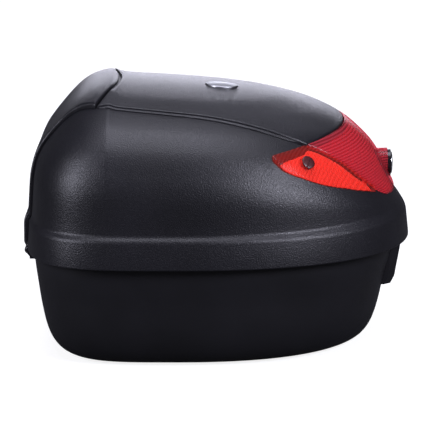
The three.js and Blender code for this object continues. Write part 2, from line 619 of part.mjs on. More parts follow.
// ---------------------------------------------------------------- hinges, on the base
for (const [side, word] of [[-1, 'right'], [1, 'left']]) {
  const y = side * HINGE.y;
  let bracket = box([-188.5, y - 20, 91.6], [-172, y + 20, 97]).subtract(baseClear);
  for (const end of [-1, 1]) {
    const middle = y + end * 13.2;
    bracket = bracket.add(rod('y', [HINGE.x, middle, HINGE.z], -6.8, 6.8, HINGE.barrel));
    const webOutline = [[-192.6, 99], [-188.5, 94], [-184, 94], [-184, 98], [-187, 101]];
    const web = plate(webOutline, middle - 6.8, middle + 6.8);
    bracket = bracket.add(web.subtract(baseClear));
  }
  bracket = bracket.subtract(rod('y', [HINGE.x, y, HINGE.z], -25, 25, HINGE.bore, 16));
  bracket = bracket.subtract(box([-210, y - 6.4, 95.5], [-180, y + 6.4, 115]));
  for (const end of [-1, 1]) {
    bracket = bracket.subtract(hingeScrewHole(y + end * HINGE_SCREW.spread));
    const turn = [[-187.2, 0], [-187.2, 1.6], [-177.2, 1.6], [-177.2, 3.8], [-175.6, 3.2], [-175.6, 0]];
    const screw = turned(turn, 'x', [0, y + end * HINGE_SCREW.spread, HINGE_SCREW.z], 12);
    add(`hinge_screw_${word}_${end < 0 ? 1 : 2}`, screw, metal(0x3a3b3e, 0.5));
  }
  add(`hinge_bracket_${word}`, bracket, plastic(0x141516, 0.55));
  const pin = [[-21.4, 0], [-21.4, 3.2], [-20.3, 3.2], [-20.3, HINGE.pin], [20.2, HINGE.pin], [20.2, 0]];
  add(`hinge_pin_${word}`, turned(pin, 'y', [HINGE.x, y, HINGE.z], 16), metal(0x3a3b3e, 0.5));
}

// ---------------------------------------------------------------- striker, on the rear wall of the base
let striker = box([178, -STRIKER.half, 99.5], [188, STRIKER.half, 122]).intersect(cavityFit);
striker = striker.subtract(box([170, -STRIKER.half - 1, 90], [181.2, STRIKER.half + 1, 130]));
for (const side of [-1, 1]) {
  striker = striker.add(box([163, side * 10.5 - 1.5, 104.8], [182, side * 10.5 + 1.5, 110]));
}
striker = striker.add(box([163, -12, 104.8], [166.5, 12, 110]));
striker = striker.subtract(strikerScrewHole(-1)).subtract(strikerScrewHole(1));
add('striker', striker, metal(0x9a9da0, 0.4));
for (const [side, word] of [[-1, 'right'], [1, 'left']]) {
  const turn = [[179.4, 0], [179.4, 2.4], [180.9, 3], [180.9, 1.6], [185.8, 1.6], [185.8, 0]];
  const screw = turned(turn, 'x', strikerScrewPlace(side), 12);
  add(`striker_screw_${word}`, screw, metal(0x3a3b3e, 0.5));
}

// ---------------------------------------------------------------- plate release
// the block's face leans forward towards its bottom, and slopes away at its two upright corners
const blockOutline = [[150, 103], [193, 103], [193, 100], [186.5, 62], [182.5, 54], [150, 54]];
const blockSlab = (back, half) => {
  const outline = blockOutline.map(([x, z]) => [x > 160 ? x - back : x, z]);
  return plate(outline, -half, half);
};
const tabOutline = [[189.7, 83.4], [185.1, 56.4], [182.5, 56.4], [181.9, 60], [185.2, 76], [187, 83.4]];
const housingOuter = wasm.Manifold.hull([blockSlab(0, 33.5), blockSlab(7, 40)]).subtract(baseClear);
const tabRoom = box([150, -TAB.halfWidth - 1, 40], [200, TAB.halfWidth + 1, TAB.z + 4.5]);
const tabPinBore = rod('y', [TAB.x, 0, TAB.z], -34, 34, TAB.bore, 16);
add('release_housing', housingOuter.subtract(tabRoom).subtract(tabPinBore), plastic(0x151617, 0.5));

const tabFace = plate(tabOutline, -TAB.halfWidth, TAB.halfWidth);
const tabBarrel = rod('y', [TAB.x, 0, TAB.z], -12, 12, TAB.barrel);
const tabArm = box([BOLT_X - 7, -5, TAB.z - 3], [TAB.x, 5, TAB.z + 3]);
const tabFork = box([BOLT_X - 8, -9, TAB.z - 3], [BOLT_X + 8, 9, TAB.z + 3]);
const forkSlot = box([BOLT_X - 20, -3.6, TAB.z - 5], [BOLT_X + 3.8, 3.6, TAB.z + 5]);
const tab = tabFace.add(tabBarrel).add(tabArm).add(tabFork).subtract(forkSlot)
  .subtract(rod('y', [TAB.x, 0, TAB.z], -40, 40, TAB.bore, 16));
add('release_tab', tab, plastic(0x1a1b1d, 0.45));
add('release_tab_pin', rod('y', [TAB.x, 0, TAB.z], -33, 33, TAB.pin, 16), metal(0x9a9da0, 0.35));

let bolt = box([BOLT_X - 6, -8, 1.2], [BOLT_X + 6, 8, 17]);
bolt = bolt.add(rod('z', [BOLT_X, 0, 0], 10, TAB.z + 7, 3));
bolt = bolt.add(rod('z', [BOLT_X, 0, 0], TAB.z + 4.2, TAB.z + 7, 6.5));
add('plate_bolt', bolt, metal(0x9a9da0, 0.4));
add('bolt_spring', spring('z', [BOLT_X, 0, 0], 17.3, TAB.z - 26, 5, 0.8, 5), metal(0x9a9da0, 0.35));

const boxWall = 2.5;
let mechanism = box([104, -21, 9.5 + GAP], [186, 21, 97.5]);
mechanism = mechanism.subtract(box([104 + boxWall, -21 + boxWall, 5], [200, 21 - boxWall, 97.5 - boxWall]));
mechanism = mechanism.intersect(cavityFit.subtract(box([-86, -69, -2], [137 + GAP, 69, 9.5 + GAP])));
const guide = box([BOLT_X - 9, -18.6, TAB.z - 25.5], [BOLT_X + 9, 18.6, TAB.z - 22]);
mechanism = mechanism.add(guide).subtract(rod('z', [BOLT_X, 0, 0], 30, 70, 3.3));
mechanism = mechanism.add(box([104.5, -18.7, TAB.z - 25.5], [BOLT_X - 8.9, 18.7, TAB.z - 22]));
add('mechanism_cover', mechanism, plastic(0x1c1d1f, 0.6));

object.position.x = -CENTRE_X;
export default object;
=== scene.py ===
"""Motorcycle top case: fine surfaces, materials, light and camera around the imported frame."""

import math

import bmesh
import bpy
import numpy as np
from mathutils import Matrix, Vector


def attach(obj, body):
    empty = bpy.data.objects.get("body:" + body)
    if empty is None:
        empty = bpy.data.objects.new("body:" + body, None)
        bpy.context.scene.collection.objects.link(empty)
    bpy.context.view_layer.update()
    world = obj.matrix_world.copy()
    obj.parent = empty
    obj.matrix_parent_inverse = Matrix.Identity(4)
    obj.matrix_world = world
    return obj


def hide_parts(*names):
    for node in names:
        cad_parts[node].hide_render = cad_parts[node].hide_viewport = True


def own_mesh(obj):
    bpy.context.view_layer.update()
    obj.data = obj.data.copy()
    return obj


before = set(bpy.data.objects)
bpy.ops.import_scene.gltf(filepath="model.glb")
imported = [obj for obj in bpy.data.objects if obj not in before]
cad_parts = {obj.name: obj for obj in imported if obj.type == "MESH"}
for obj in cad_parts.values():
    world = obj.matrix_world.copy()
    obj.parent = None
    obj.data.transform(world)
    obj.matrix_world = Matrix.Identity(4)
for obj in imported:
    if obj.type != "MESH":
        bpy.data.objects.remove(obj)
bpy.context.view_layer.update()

# ------------------------ dimensions, in millimetres
# Drawn with the plan's own origin; metres() moves the drawing to the frame's origin.
MM = 0.001
GAP = 0.3
WALL = 3.0
CENTRE_X = 4.25
WIDEST_X = -38.0
FRONT_POWER = 4.0
REAR_POWER = 2.3

# plan outlines: front semi-axis, rear semi-axis, half width
SKIRT_LOW = np.array([153.5, 240.0, 190.0])
SKIRT_HIGH = np.array([152.0, 237.0, 185.5])
LID_FOOT = np.array([149.0, 231.0, 181.0])
BASE_RIM = np.array([147.0, 224.0, 180.0])

SKIRT_LOW_Z = 105.0
SKIRT_HIGH_Z = 132.5
FOOT_Z = 137.0
FOOT_REAR_RISE = 5.0
SEAL_Z = 128.0
LID_SEAL_Z = 133.3
CREST_Z = 264.3
CREST_X = -105.0
CREST_STEP = 3.6
STEP_LENGTH = 6.0
CREST_FALL = 0.0455
CREST_BOW = 0.00013
SIDE_BOW = 0.0007

COVER_RISE = 3.0
LENS_LOW = 0.35
WING_EDGE_RISE = 1.2
BACKREST_RISE = (2.8, 5.4)
BACKREST_FACE_X = -193.5
FACET_SAG = 0.4                          # keeps the fine backrest inside the faceted solid
GROOVE = {"front": -118.0, "bow": 20.0, "half": 105.0, "half_width": 1.5}

HINGE = {"x": -189.3, "z": 101.0, "y": 62.0}
HINGE_SCREW = {"y": 8.0, "z": 94.2}      # y on both sides of the middle of a hinge
LOCK = {"z": 175.2, "hood": 15.4, "barrel": 13.0, "bore": 12.1, "cap": 11.8, "ring_x": 179.6}
LATCH = {"x": 148.0, "z": 138.0}
COVER_SCREW = {"y": 14.0, "z": 186.0}
STRIKER_SCREW = {"y": 14.0, "z": 116.0}
TAB = {"x": 184.6, "z": 80.0}
BOLT_X = 120.0
BADGE = {"x": 7.0, "radius": 16.5}
LENS_SCREW = (92.0, -136.0)

# height of the lid above its foot, as a share, against the share of the way out to its outline
FRONT_RISE = [(0, 1), (0.47, 1), (0.556, 0.982), (0.61, 0.955), (0.66, 0.918), (0.713, 0.862),
              (0.764, 0.795), (0.8215, 0.712), (0.878, 0.625), (0.933, 0.525), (0.98, 0.34), (1, 0)]
SIDE_RISE = [(0, 1), (0.4, 0.998), (0.6, 0.979), (0.75, 0.914), (0.867, 0.778), (0.94, 0.588),
             (0.985, 0.34), (1, 0)]
REAR_RISE = [(0, 1), (0.102, 0.999), (0.397, 0.985), (0.588, 0.917), (0.731, 0.797),
             (0.8485, 0.585), (0.885, 0.478), (0.922, 0.31), (0.9697, 0.1), (1, 0)]
# half widths, against distance from the groove: back to the lens, and down to the hinge line
COVER_SIDE = [(0, 105), (0.12, 107.5), (0.25, 111), (0.5, 115.5), (0.75, 120), (0.88, 121), (1, 118.8)]
BACKREST_SIDE = [(0, 104), (0.1, 95), (0.2, 87), (0.32, 79), (0.45, 75), (0.6, 77), (0.8, 83), (1, 88)]

# the base: height, then how far the front, side and rear lie inside the rim outline
BASE_LEVELS = [(0, 39, 38, 44), (3, 28, 26, 32.5), (10, 19, 17, 24.5), (22, 12.5, 11.5, 18.5),
               (40, 8, 7.5, 13.5), (65, 4, 4.5, 8.5), (102, 0, 0, 0), (SEAL_Z, -0.5, -0.5, -0.5)]

# lens outlines in plan, from the right side to the middle
UPPER_EDGE = [(91.4, -118.8), (104, -103), (118, -78), (128, -50), (134, 0)]
LOWER_EDGE = [(161.6, -86.2), (173, -70), (181, -47), (185.5, -20), (186, 0)]
SIDE_EDGE = [(91.4, -118.8), (120.8, -110.7), (143.6, -100.3), (161.6, -86.2)]
RIDGE_EDGE = [(56, -147), (74, -134.4), (90.4, -120.4), (92.4, -119.7), (121, -111.8), (144, -101.4),
              (161.4, -87.6)]
WING_EDGE = [(57, -148.6), (66, -150.4), (76, -149), (87, -145.9), (98, -142), (109, -136.9),
             (120, -130.2), (131.5, -121.6), (143, -111.4), (154.4, -98.5), (162, -87.8)]

# openings behind the lenses: share of their length, and border along the upper edge or the ridge
CENTRE_BORDER = [(0, 1.6), (1, 1.6)]
WING_BORDER = [(0, 2.0), (4 / 17, 2.8), (5 / 17, 2.4), (6 / 17, -1.2), (7 / 17, -2.0), (15 / 17, -2.0),
               (16 / 17, -1.5), (1, 0.5)]

SPOKES = 384                             # points round each ring of the big shells
SMOOTH_ANGLE = math.radians(32)          # flatter edges than this are shaded smooth
SHARP_ANGLE = math.radians(35)           # steeper edges than this are rounded


# ------------------------ curve and surface formulas
def power(value, exponent):
    return np.sign(value) * np.abs(value) ** exponent


def smooth_rise(points, at):
    """Monotone cubic through the points, read at an array of places."""
    xs, ys = np.array(points, float).T
    steps = np.diff(xs)
    slopes = np.diff(ys) / steps
    tangents = np.concatenate([slopes[:1], np.zeros(len(slopes) - 1), slopes[-1:]])
    before, after = slopes[:-1], slopes[1:]
    same = before * after > 0
    w0, w1 = 2 * steps[1:] + steps[:-1], steps[1:] + 2 * steps[:-1]
    safe_before, safe_after = np.where(same, before, 1), np.where(same, after, 1)
    tangents[1:-1] = np.where(same, (w0 + w1) / (w0 / safe_before + w1 / safe_after), 0)
    at = np.asarray(at, float)
    k = np.clip(np.searchsorted(xs, at, side="left") - 1, 0, len(slopes) - 1)
    t = np.clip((at - xs[k]) / steps[k], 0, 1)
    blend = (1 + 2 * t) * (1 - t) ** 2 * ys[k] + t * t * (3 - 2 * t) * ys[k + 1]
    bend = t * (1 - t) ** 2 * tangents[k] + t * t * (t - 1) * tangents[k + 1]
    return blend + steps[k] * bend


def crest_height(x):
    back = np.maximum(x - CREST_X, 0)
    step = CREST_STEP * (1 - np.exp(-back / STEP_LENGTH))
    return CREST_Z - step - CREST_FALL * back - CREST_BOW * back * back


def lid_height(x, y, rise):
    """Height of the lid surface, raised by rise, over plan points."""
    x, y, rise = np.broadcast_arrays(np.asarray(x, float), np.asarray(y, float), np.asarray(rise, float))
    ahead = x < WIDEST_X
    exponent = np.where(ahead, FRONT_POWER, REAR_POWER)
    length = np.where(ahead, LID_FOOT[0], LID_FOOT[1]) + rise
    u = (np.abs(x - WIDEST_X) / length) ** exponent
    v = (np.abs(y) / (LID_FOOT[2] + rise)) ** exponent
    reach = np.minimum((u + v) ** (1 / exponent), 1)
    end_share = u / np.maximum(u + v, 1e-9)
    side = smooth_rise(SIDE_RISE, reach)
    end = np.where(ahead, smooth_rise(FRONT_RISE, reach), smooth_rise(REAR_RISE, reach))
    share = side + (end - side) * end_share
    foot = FOOT_Z + np.where(ahead, 0, FOOT_REAR_RISE * end_share)
    return foot + (crest_height(x) + rise - SIDE_BOW * y * y - foot) * share


def draped(x, y, rise):
    """Points of the lid surface, raised by rise, over plan points."""
    return np.stack([x, y, lid_height(x, y, rise)], -1)


def outline_units(count):
    """Evenly spaced points round the plan outline, as shares of its semi-axes."""
    fine = np.linspace(0, math.pi / 2, 4000)
    shares = []
    for quadrant in range(4):
        exponent = 2 / (REAR_POWER if quadrant in (0, 3) else FRONT_POWER)
        angle = fine + quadrant * math.pi / 2
        unit = np.stack([power(np.cos(angle), exponent), power(np.sin(angle), exponent)], 1)
        length = SKIRT_LOW[1 if quadrant in (0, 3) else 0]
        run = np.hypot(*np.diff(unit * [length, SKIRT_LOW[2]], axis=0).T)
        run = np.concatenate([[0], np.cumsum(run)])
        wanted = np.linspace(0, run[-1], count // 4, endpoint=False)
        shares.append(np.stack([np.interp(wanted, run, unit[:, k]) for k in (0, 1)], 1))
    return np.concatenate(shares)


UNITS = outline_units(SPOKES)


def outline(axes, z, units=UNITS):
    """A ring at height z round a plan outline."""
    front, rear, half = axes
    x = WIDEST_X + np.where(units[:, 0] < 0, front, rear) * units[:, 0]
    return np.stack([x, half * units[:, 1], np.full(len(units), float(z))], 1)


def lid_ring(rise, reach):
    ring = outline((LID_FOOT + rise) * reach, 0)
    return draped(ring[:, 0], ring[:, 1], rise)


def plan_curve(points):
    """Smooth curve through plan points, read at shares of its length."""
    points = np.array(points, float)
    ends = [2 * points[0] - points[1], *points, 2 * points[-1] - points[-2]]
    fine = []
    for a, b, c, d in zip(ends, ends[1:], ends[2:], ends[3:]):
        k0, k1, k2, k3 = np.cumsum([0] + [math.dist(p, q) ** 0.5 for p, q in ((a, b), (b, c), (c, d))])
        t = np.linspace(k1, k2, 60)[:, None]
        ab = ((k1 - t) * a + (t - k0) * b) / (k1 - k0)
        bc = ((k2 - t) * b + (t - k1) * c) / (k2 - k1)
        cd = ((k3 - t) * c + (t - k2) * d) / (k3 - k2)
        first = ((k2 - t) * ab + (t - k0) * bc) / (k2 - k0)
        second = ((k3 - t) * bc + (t - k1) * cd) / (k3 - k1)
        fine.append(((k2 - t) * first + (t - k1) * second) / (k2 - k1))
    fine = np.concatenate(fine)
    run = np.concatenate([[0], np.cumsum(np.hypot(*np.diff(fine, axis=0).T))])

    def read(share):
        at = np.asarray(share, float) * run[-1]
        return np.stack([np.interp(at, run, fine[:, 0]), np.interp(at, run, fine[:, 1])], -1)

    return read


def both_sides(points):
    return points + [(x, -y) for x, y in points[-2::-1]]


upper_edge = plan_curve(both_sides(UPPER_EDGE))
lower_edge = plan_curve(both_sides(LOWER_EDGE))
side_edge = plan_curve(SIDE_EDGE)
ridge_edge = plan_curve(RIDGE_EDGE)
wing_edge = plan_curve(WING_EDGE)


def wing_plan(u, v):
    """Plan points of a wing: u along it, v from its lower edge to its ridge."""
    first, second = wing_edge(u), ridge_edge(u)
    return first + (second - first) * v[..., None]


def centre_plan(u, v):
    """Plan points of the centre lens: u across it, v from its upper to its lower edge."""
    def across(at):
        first, second = upper_edge(at), lower_edge(at)
        return first + (second - first) * v[..., None]

    side = side_edge(v)
    right = side - across(0 * u)
    left = side * [1, -1] - across(0 * u + 1)
    return across(u) + right * (1 - u)[..., None] + left * u[..., None]


def inset(plan, low_u, high_u, low_v, high_v):
    """Part of a plan region: shares of its length are left off at the ends, and lengths at the sides."""
    def drawn_in(u, v):
        width = np.hypot(*np.moveaxis(plan(u, 0 * v + 1) - plan(u, 0 * v), -1, 0))
        near = np.minimum(low_v / width, 0.45)
        far = np.minimum(np.interp(u, *zip(*high_v)) / width, 0.45)
        return plan(low_u + (1 - high_u - low_u) * u, near + (1 - far - near) * v)

    return drawn_in


centre_window = inset(centre_plan, 0.0145, 0.0145, 2.6, CENTRE_BORDER)
wing_window = inset(wing_plan, 0.05, 0.02, 0.8, WING_BORDER)


def groove_x(y):
    return GROOVE["front"] + GROOVE["bow"] * (1 - (y / GROOVE["half"]) ** 2)


# ------------------------ mesh tools
def metres(points):
    points = np.asarray(points, float)
    return (points - [CENTRE_X, 0, 0]) * MM


def new_mesh(name, points, faces):
    """An object from points in drawn millimetres, with its faces turned outwards."""
    mesh = bpy.data.meshes.new(name)
    mesh.from_pydata(metres(points).tolist(), [], [list(face) for face in faces])
    bm = bmesh.new()
    bm.from_mesh(mesh)
    bmesh.ops.remove_doubles(bm, verts=bm.verts, dist=1e-7)
    bmesh.ops.dissolve_degenerate(bm, edges=bm.edges, dist=1e-8)
    bmesh.ops.recalc_face_normals(bm, faces=bm.faces)
    if bm.calc_volume(signed=True) < 0:
        bmesh.ops.reverse_faces(bm, faces=bm.faces)
    bm.to_mesh(mesh)
    bm.free()
    piece = bpy.data.objects.new(name, mesh)
    bpy.context.scene.collection.objects.link(piece)
    return piece


def loft(name, rings, closed=False):
    """A skin over rings of equal length; closed joins the last ring to the first."""
    rings = [np.asarray(ring, float) for ring in rings]
    count = len(rings[0])
    points = np.concatenate(rings)
    faces = []
    around = np.arange(count)
    after = (around + 1) % count
    for k in range(len(rings) if closed else len(rings) - 1):
        low, high = k * count, ((k + 1) % len(rings)) * count
        faces += np.stack([low + around, low + after, high + after, high + around], 1).tolist()
    if not closed:
        for start in (0, (len(rings) - 1) * count):
            middle = points[start:start + count].mean(0)
            middle[0] = WIDEST_X if count == SPOKES else middle[0]
            points = np.concatenate([points, [middle]])
            last = len(points) - 1
            faces += [[last, start + i, start + j] for i, j in zip(around, after)]
    return new_mesh(name, points, faces)


def rounded(path, radii, steps=5):
    """Rings with each inner corner of the path rounded by its radius."""
    path = [np.asarray(ring, float) for ring in path]
    out = [path[0]]
    for before, corner, after, radius in zip(path, path[1:], path[2:], radii):
        if not radius:
            out.append(corner)
            continue
        back, ahead = before - corner, after - corner
        back_length = np.linalg.norm(back, axis=-1, keepdims=True)
        ahead_length = np.linalg.norm(ahead, axis=-1, keepdims=True)
        start = corner + back * np.minimum(radius / back_length, 0.46)
        end = corner + ahead * np.minimum(radius / ahead_length, 0.46)
        for t in np.linspace(0, 1, steps):
            out.append((1 - t) ** 2 * start + 2 * t * (1 - t) * corner + t * t * end)
    return out + [path[-1]]


def grid_solid(name, top, bottom):
    """A closed piece between two grids of points of the same shape."""
    rows, columns = top.shape[:2]
    points = np.concatenate([top.reshape(-1, 3), bottom.reshape(-1, 3)])
    index = np.arange(rows * columns).reshape(rows, columns)
    a, b, c, d = index[:-1, :-1], index[:-1, 1:], index[1:, 1:], index[1:, :-1]
    quads = np.stack([a, b, c, d], -1).reshape(-1, 4)
    faces = quads.tolist() + (quads[:, ::-1] + rows * columns).tolist()
    rim = np.concatenate([index[0], index[1:, -1], index[-1, -2::-1], index[-2:0:-1, 0]])
    following = np.roll(rim, -1)
    under = rows * columns
    faces += np.stack([rim, rim + under, following + under, following], 1).tolist()
    return new_mesh(name, points, faces)


def clustered(length, offsets, middle):
    """Shares from 0 to 1 that hold the offsets from both ends and run evenly between."""
    near = np.array(offsets, float) / length
    inner = np.linspace(near[-1], 1 - near[-1], middle)
    return np.concatenate([near[:-1], inner, 1 - near[:-1][::-1]])


def rim_distance(x, y, border):
    """Distance of plan points from a closed border of plan points."""
    points = np.stack([x.ravel(), y.ravel()], 1)
    start, run = border, np.roll(border, -1, axis=0) - border
    size = np.maximum((run ** 2).sum(1), 1e-12)
    nearest = np.full(len(points), 1e9)
    for a, d, s in zip(start, run, size):
        t = np.clip(((points - a) @ d) / s, 0, 1)
        nearest = np.minimum(nearest, np.hypot(*(points - a - t[:, None] * d).T))
    return nearest.reshape(x.shape)


def rim_of(grid):
    return np.concatenate([grid[0], grid[1:, -1], grid[-1, -2::-1], grid[-2:0:-1, 0]])


RIM_OFFSETS = [0, 0.12, 0.35, 0.7, 1.15, 1.7, 2.6]


def raised_panel(name, plan, us, vs, low, high, radius, relief=None):
    """A panel that lies on the lid from rise low to rise high(v), with a rounded rim."""
    u, v = np.meshgrid(us, vs)
    flat = plan(u, v)
    x, y = flat[..., 0], flat[..., 1]
    depth = radius - np.minimum(rim_distance(x, y, rim_of(flat)), radius)
    rise = high(v) - radius + np.sqrt(np.maximum(radius ** 2 - depth ** 2, 0))
    if relief is not None:
        rise = rise + relief(u, v, x, y)
    return grid_solid(name, draped(x, y, rise), draped(x, y, low))


def turned(name, profile, axis, centre, segments=96):
    """A turned piece from profile points of (along the axis, radius)."""
    profile = np.array(profile, float)
    axis = np.array(axis, float) / np.linalg.norm(axis)
    side = np.cross(axis, (0, 0, 1) if abs(axis[2]) < 0.9 else (1, 0, 0))
    side /= np.linalg.norm(side)
    other = np.cross(axis, side)
    angle = np.linspace(0, 2 * math.pi, segments, endpoint=False)
    spin = np.cos(angle)[:, None] * side + np.sin(angle)[:, None] * other
    rings = [np.array(centre) + along * axis + radius * spin for along, radius in profile]
    closed = bool(np.allclose(profile[0], profile[-1]))
    return loft(name, rings[:-1] if closed else rings, closed)


def rod(start, end, radius, axis, centre, segments=96):
    """A plain cylinder from start to end along an axis."""
    return turned("rod", [(start, 0), (start, radius), (end, radius), (end, 0)], axis, centre, segments)


def block(name, low, high, corner=0.0):
    """A box between two corners, with its edges rounded by corner."""
    low, high = np.array(low, float), np.array(high, float)
    points = [low + (high - low) * [i, j, k] for i in (0, 1) for j in (0, 1) for k in (0, 1)]
    faces = [(0, 1, 3, 2), (4, 6, 7, 5), (0, 4, 5, 1), (2, 3, 7, 6), (0, 2, 6, 4), (1, 5, 7, 3)]
    piece = new_mesh(name, points, faces)
    if corner:
        soften(piece, corner)
    return piece


def coil(name, axis, centre, start, end, radius, wire, turns):
    """A helical spring with closed wire ends."""
    steps = turns * 40
    share = np.linspace(0, 1, steps + 1)
    angle = share * turns * 2 * math.pi
    along = start + wire + (end - start - 2 * wire) * share
    a, b = radius * np.cos(angle), radius * np.sin(angle)
    line = np.stack([along, a, b] if axis == "x" else [a, b, along], 1) + centre
    tangent = np.gradient(line, axis=0)
    tangent /= np.linalg.norm(tangent, axis=1, keepdims=True)
    out = np.stack([0 * a, np.cos(angle), np.sin(angle)] if axis == "x"
                   else [np.cos(angle), np.sin(angle), 0 * a], 1)
    up = np.cross(tangent, out)
    spin = np.linspace(0, 2 * math.pi, 14, endpoint=False)
    rings = [p + wire * (np.cos(spin)[:, None] * o + np.sin(spin)[:, None] * n)
             for p, o, n in zip(line, out, up)]
    return loft(name, rings)


def apply_modifiers(piece):
    graph = bpy.context.evaluated_depsgraph_get()
    mesh = bpy.data.meshes.new_from_object(piece.evaluated_get(graph))
    piece.modifiers.clear()
    old = piece.data
    piece.data = mesh
    bpy.data.meshes.remove(old)


def soften(piece, width, segments=3):
    """Rounds the sharp edges of a piece by width, in millimetres."""
    bevel = piece.modifiers.new("edge", "BEVEL")
    bevel.width = width * MM
    bevel.segments = segments
    bevel.limit_method = "ANGLE"
    bevel.angle_limit = SHARP_ANGLE
    bevel.miter_outer = "MITER_ARC"
    bevel.use_clamp_overlap = True
    apply_modifiers(piece)
    return piece


def boolean(piece, tools, operation="DIFFERENCE"):
    """Cuts or joins closed tool pieces, which are used up."""
    for tool in tools:
        cut = piece.modifiers.new("cut", "BOOLEAN")
        cut.operation = operation
        cut.solver = "MANIFOLD"
        cut.object = tool
    apply_modifiers(piece)
    for tool in tools:
        bpy.data.objects.remove(tool)
    return piece


def mirrored(piece, name):
    """A copy of a piece on the other side of the plane Y = 0."""
    copy = bpy.data.objects.new(name, piece.data.copy())
    bpy.context.scene.collection.objects.link(copy)
    copy.data.transform(Matrix.Scale(-1, 4, (0, 1, 0)))
    copy.data.flip_normals()
    return copy


def finish_piece(piece, body, slot, replaced=None, angle=SMOOTH_ANGLE):
    """Gives a piece its body, material slot and material, and hides the CAD node it stands for."""
    piece.data.shade_smooth()
    piece.data.set_sharp_from_angle(angle=angle)
    piece.data.materials.clear()
    piece.data.materials.append(materials[slot])
    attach(piece, body)
    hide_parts(replaced or piece.name.removesuffix("_fine"))
    return piece


def refined(node, body, slot, width=0.0, segments=3):
    """A copy of a CAD node's solid with its flat faces joined up and its edges rounded by width."""
    piece = bpy.data.objects.new(node + "_fine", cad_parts[node].data.copy())
    bpy.context.scene.collection.objects.link(piece)
    bm = bmesh.new()
    bm.from_mesh(piece.data)
    bmesh.ops.remove_doubles(bm, verts=bm.verts, dist=2e-6)
    bmesh.ops.dissolve_limit(bm, angle_limit=math.radians(1), verts=bm.verts, edges=bm.edges)
    bm.to_mesh(piece.data)
    bm.free()
    if width:
        soften(piece, width, segments)
    return finish_piece(piece, body, slot, node)


# ------------------------ materials
materials = {}


def base_material(name, colour, roughness, metallic=0.0):
    """A new material, kept under its name; gives its node tree and its shader."""
    made = bpy.data.materials.new(name)
    materials[name] = made
    made.use_nodes = True
    shader = made.node_tree.nodes["Principled BSDF"]
    shader.inputs["Base Color"].default_value = (*colour, 1)
    shader.inputs["Roughness"].default_value = roughness
    shader.inputs["Metallic"].default_value = metallic
    return made.node_tree, shader


def texture(tree, kind, scale, **settings):
    """A texture node on object coordinates, scaled in features per metre."""
    place = tree.nodes.get("place") or tree.nodes.new("ShaderNodeTexCoord")
    place.name = "place"
    node = tree.nodes.new("ShaderNodeTex" + kind)
    node.inputs["Scale"].default_value = scale
    for key, value in settings.items():
        if key in node.inputs:
            node.inputs[key].default_value = value
        else:
            setattr(node, key, value)
    tree.links.new(place.outputs["Object"], node.inputs["Vector"])
    return node


def mapped(tree, node, socket, value):
    """Turns or stretches the object coordinates that a texture reads."""
    mapping = tree.nodes.new("ShaderNodeMapping")
    mapping.inputs[socket].default_value = value
    tree.links.new(tree.nodes["place"].outputs["Object"], mapping.inputs["Vector"])
    tree.links.new(mapping.outputs["Vector"], node.inputs["Vector"])
    return node


def remap(tree, source, low, high, from_low=0.3, from_high=0.7):
    node = tree.nodes.new("ShaderNodeMapRange")
    node.inputs["From Min"].default_value = from_low
    node.inputs["From Max"].default_value = from_high
    node.inputs["To Min"].default_value = low
    node.inputs["To Max"].default_value = high
    tree.links.new(source, node.inputs["Value"])
    return node.outputs["Result"]


def blend_colours(tree, share, first, second):
    node = tree.nodes.new("ShaderNodeMix")
    node.data_type = "RGBA"
    node.inputs["A"].default_value = (*first, 1)
    node.inputs["B"].default_value = (*second, 1)
    tree.links.new(share, node.inputs["Factor"])
    return node.outputs["Result"]


def mix_shaders(tree, share, first, second):
    """One shader blended into another by a share, which is a number or a socket."""
    node = tree.nodes.new("ShaderNodeMixShader")
    if isinstance(share, float):
        node.inputs["Fac"].default_value = share
    else:
        tree.links.new(share, node.inputs["Fac"])
    tree.links.new(first, node.inputs[1])
    tree.links.new(second, node.inputs[2])
    return node.outputs["Shader"]


def eye_and_light(tree, light, seen):
    """The first shader gives light to the scene; the second one is what the camera sees."""
    path = tree.nodes.new("ShaderNodeLightPath")
    return mix_shaders(tree, path.outputs["Is Camera Ray"], light, seen)


def bump(tree, shader, height, depth, below=None):
    node = tree.nodes.new("ShaderNodeBump")
    node.inputs["Strength"].default_value = 1.0
    node.inputs["Distance"].default_value = depth * MM
    tree.links.new(height, node.inputs["Height"])
    if below is not None:
        tree.links.new(below, node.inputs["Normal"])
    tree.links.new(node.outputs["Normal"], shader.inputs["Normal"])
    return node.outputs["Normal"]


def moulded_plastic(name, colour, roughness, grain, depth, variation=0.25):
    """Black moulded plastic: a pebble grain over a slow change of tone and gloss."""
    tree, shader = base_material(name, colour, roughness)
    shader.inputs["Specular IOR Level"].default_value = 0.38
    slow = texture(tree, "Noise", 14, Detail=3.0).outputs["Fac"]
    light = tuple(channel * (1 + variation) for channel in colour)
    dark = tuple(channel * (1 - variation) for channel in colour)
    fine = texture(tree, "Noise", 1000 / grain * 0.7, Detail=2.0).outputs["Fac"]
    tree.links.new(blend_colours(tree, remap(tree, slow, 0, 1), dark, light), shader.inputs["Base Color"])
    tree.links.new(remap(tree, fine, roughness - 0.05, roughness + 0.07), shader.inputs["Roughness"])
    if depth:
        cells = texture(tree, "Voronoi", 1000 / grain, feature="SMOOTH_F1", Smoothness=0.6)
        under = bump(tree, shader, cells.outputs["Distance"], depth)
        bump(tree, shader, fine, depth * 0.5, below=under)


def rubber(name, colour):
    tree, shader = base_material(name, colour, 0.7)
    fine = texture(tree, "Noise", 900, Detail=3.0).outputs["Fac"]
    tree.links.new(remap(tree, fine, 0.62, 0.8), shader.inputs["Roughness"])
    bump(tree, shader, fine, 0.05)
    shader.inputs["Sheen Weight"].default_value = 0.15


